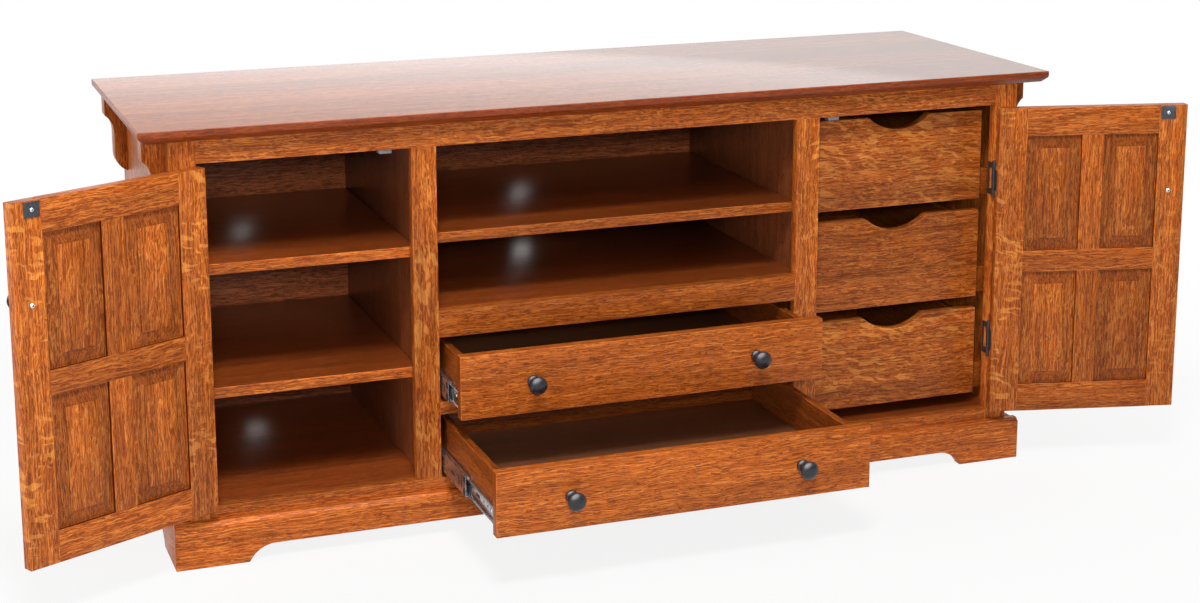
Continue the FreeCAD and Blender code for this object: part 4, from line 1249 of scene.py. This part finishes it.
# %% [markdown]
# Light and floor
#
# The stand was lit by a soft lamp high in front, so the shelves are bright only near their front edges, and
# by a weaker one just above the camera, which reaches the back panel below the rails. A low fill at the
# left and softer lamps at the sides and behind keep the other views readable. The room is white to the
# camera, while reflections see it bright behind and dimmer in front.

# %% Hang the lamps


def lamp(name, place, aim, size, power):
    """A soft rectangular lamp that lights the stand but doesn't show in its gloss."""
    data = bpy.data.lights.new(name, "AREA")
    data.shape = "RECTANGLE"
    data.size, data.size_y = size
    data.energy = power
    made = in_scene(name, data)
    made.location = place
    made.visible_glossy = False
    made.rotation_euler = (Vector(aim) - Vector(place)).to_track_quat("-Z", "Y").to_euler()


STAND_MIDDLE = (0, -0.4, 0.4)
KEY_PLACE = (-0.92, -2.95, 4.1)
KEY_DIRECTION = tuple((Vector(KEY_PLACE) - Vector(STAND_MIDDLE)).normalized())
lamp("key", KEY_PLACE, STAND_MIDDLE, (1.0, 1.0), 170)
lamp("fill", (-3.9, -2.5, 0.5), STAND_MIDDLE, (1.2, 0.8), 44)
lamp("near_camera", (-1.1, -4.1, 1.57), STAND_MIDDLE, (1.2, 0.25), 58)
lamp("side_left", (-4.2, 0.9, 2.2), STAND_MIDDLE, (2.0, 2.0), 40)
lamp("side_right", (4.2, 0.6, 2.2), STAND_MIDDLE, (2.0, 2.0), 40)
lamp("behind", (0, 4.5, 2.4), STAND_MIDDLE, (3.0, 2.0), 100)
print(len(bpy.data.lights), "lamps")

# %% Make the white room
AMBIENT = 0.12


def mirror_rays(tree):
    """The light path, and whether its ray comes from a reflection or through glass."""
    ray = put(tree, "ShaderNodeLightPath").outputs
    return ray, calc(tree, "MAXIMUM", ray["Is Glossy Ray"], ray["Is Transmission Ray"])


world = bpy.data.worlds.new("white room")
bpy.context.scene.world = world
world.use_nodes = True
room = world.node_tree
room.nodes.clear()
ray, shiny = mirror_rays(room)
direction = put(room, "ShaderNodeTexCoord").outputs["Generated"]
heading = put(room, "ShaderNodeSeparateXYZ", {0: direction}).outputs
mirror_light = spread(room, heading["Y"], -0.9, 0.7, 0.2, 1.0)
mirror_light = calc(room, "MULTIPLY", mirror_light, spread(room, heading["X"], 0.1, 0.5, 1.36, 1.08))
aims = {0: direction, 1: KEY_DIRECTION}
towards_key = put(room, "ShaderNodeVectorMath", aims, operation="DOT_PRODUCT").outputs["Value"]
mirror_light = calc(room, "ADD", mirror_light, spread(room, towards_key, 0.64, 0.97, 0.0, 9.0))
gain = calc(room, "MULTIPLY", shiny, calc(room, "SUBTRACT", mirror_light, AMBIENT))
strength = calc(room, "ADD", AMBIENT, gain)
strength = calc(room, "MAXIMUM", strength, ray["Is Camera Ray"])
air = put(room, "ShaderNodeBackground", {"Color": (1, 1, 1, 1), "Strength": strength})
put(room, "ShaderNodeOutputWorld", {"Surface": air.outputs[0]})
print(len(room.nodes), "nodes in the room")

# %% Lay the floor
FLOOR_REACH = 14.0
floor_mesh = bpy.data.meshes.new("floor")
corners = [(x * FLOOR_REACH, y * FLOOR_REACH, 0) for x, y in ((-1, -1), (1, -1), (1, 1), (-1, 1))]
floor_mesh.from_pydata(corners, [], [(0, 1, 2, 3)])
floor = in_scene("floor", floor_mesh)
paper, sheet, paper_shader = new_finish("white paper floor")
fill(sheet, paper_shader, {"Base Color": (0.7, 0.7, 0.7, 1), "Roughness": 0.9, "Specular IOR Level": 0.1})
where = put(sheet, "ShaderNodeTexCoord").outputs["Object"]
away = put(sheet, "ShaderNodeVectorMath", {0: where}, operation="LENGTH").outputs["Value"]
glow_share = spread(sheet, away, 0.9, 2.2, 0.86, 1.0)
floor_ray, shiny_ray = mirror_rays(sheet)
seen = calc(sheet, "MULTIPLY", glow_share, calc(sheet, "MAXIMUM", floor_ray["Is Camera Ray"], shiny_ray))
glow = put(sheet, "ShaderNodeEmission", {"Color": (1, 1, 1, 1), "Strength": 1.0})
mixed = put(sheet, "ShaderNodeMixShader", {0: seen, 1: paper_shader.outputs[0], 2: glow.outputs[0]})
sheet.links.new(mixed.outputs[0], sheet.nodes["Material Output"].inputs["Surface"])
floor_mesh.materials.append(paper)
floor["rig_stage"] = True
bpy.context.scene.view_settings.view_transform = "Standard"
print("paper floor", 2 * FLOOR_REACH, "m wide")

# %% [markdown]
# Sizes and finish
#
# The dressed stand must not outgrow the CAD model, so both boxes are written down side by side.

# %% Write the sizes and finish
seen_low, seen_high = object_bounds()
for label, size in (("CAD", cad_high - cad_low), ("visual", seen_high - seen_low)):
    print(label, "box", [round(x, 3) for x in size])
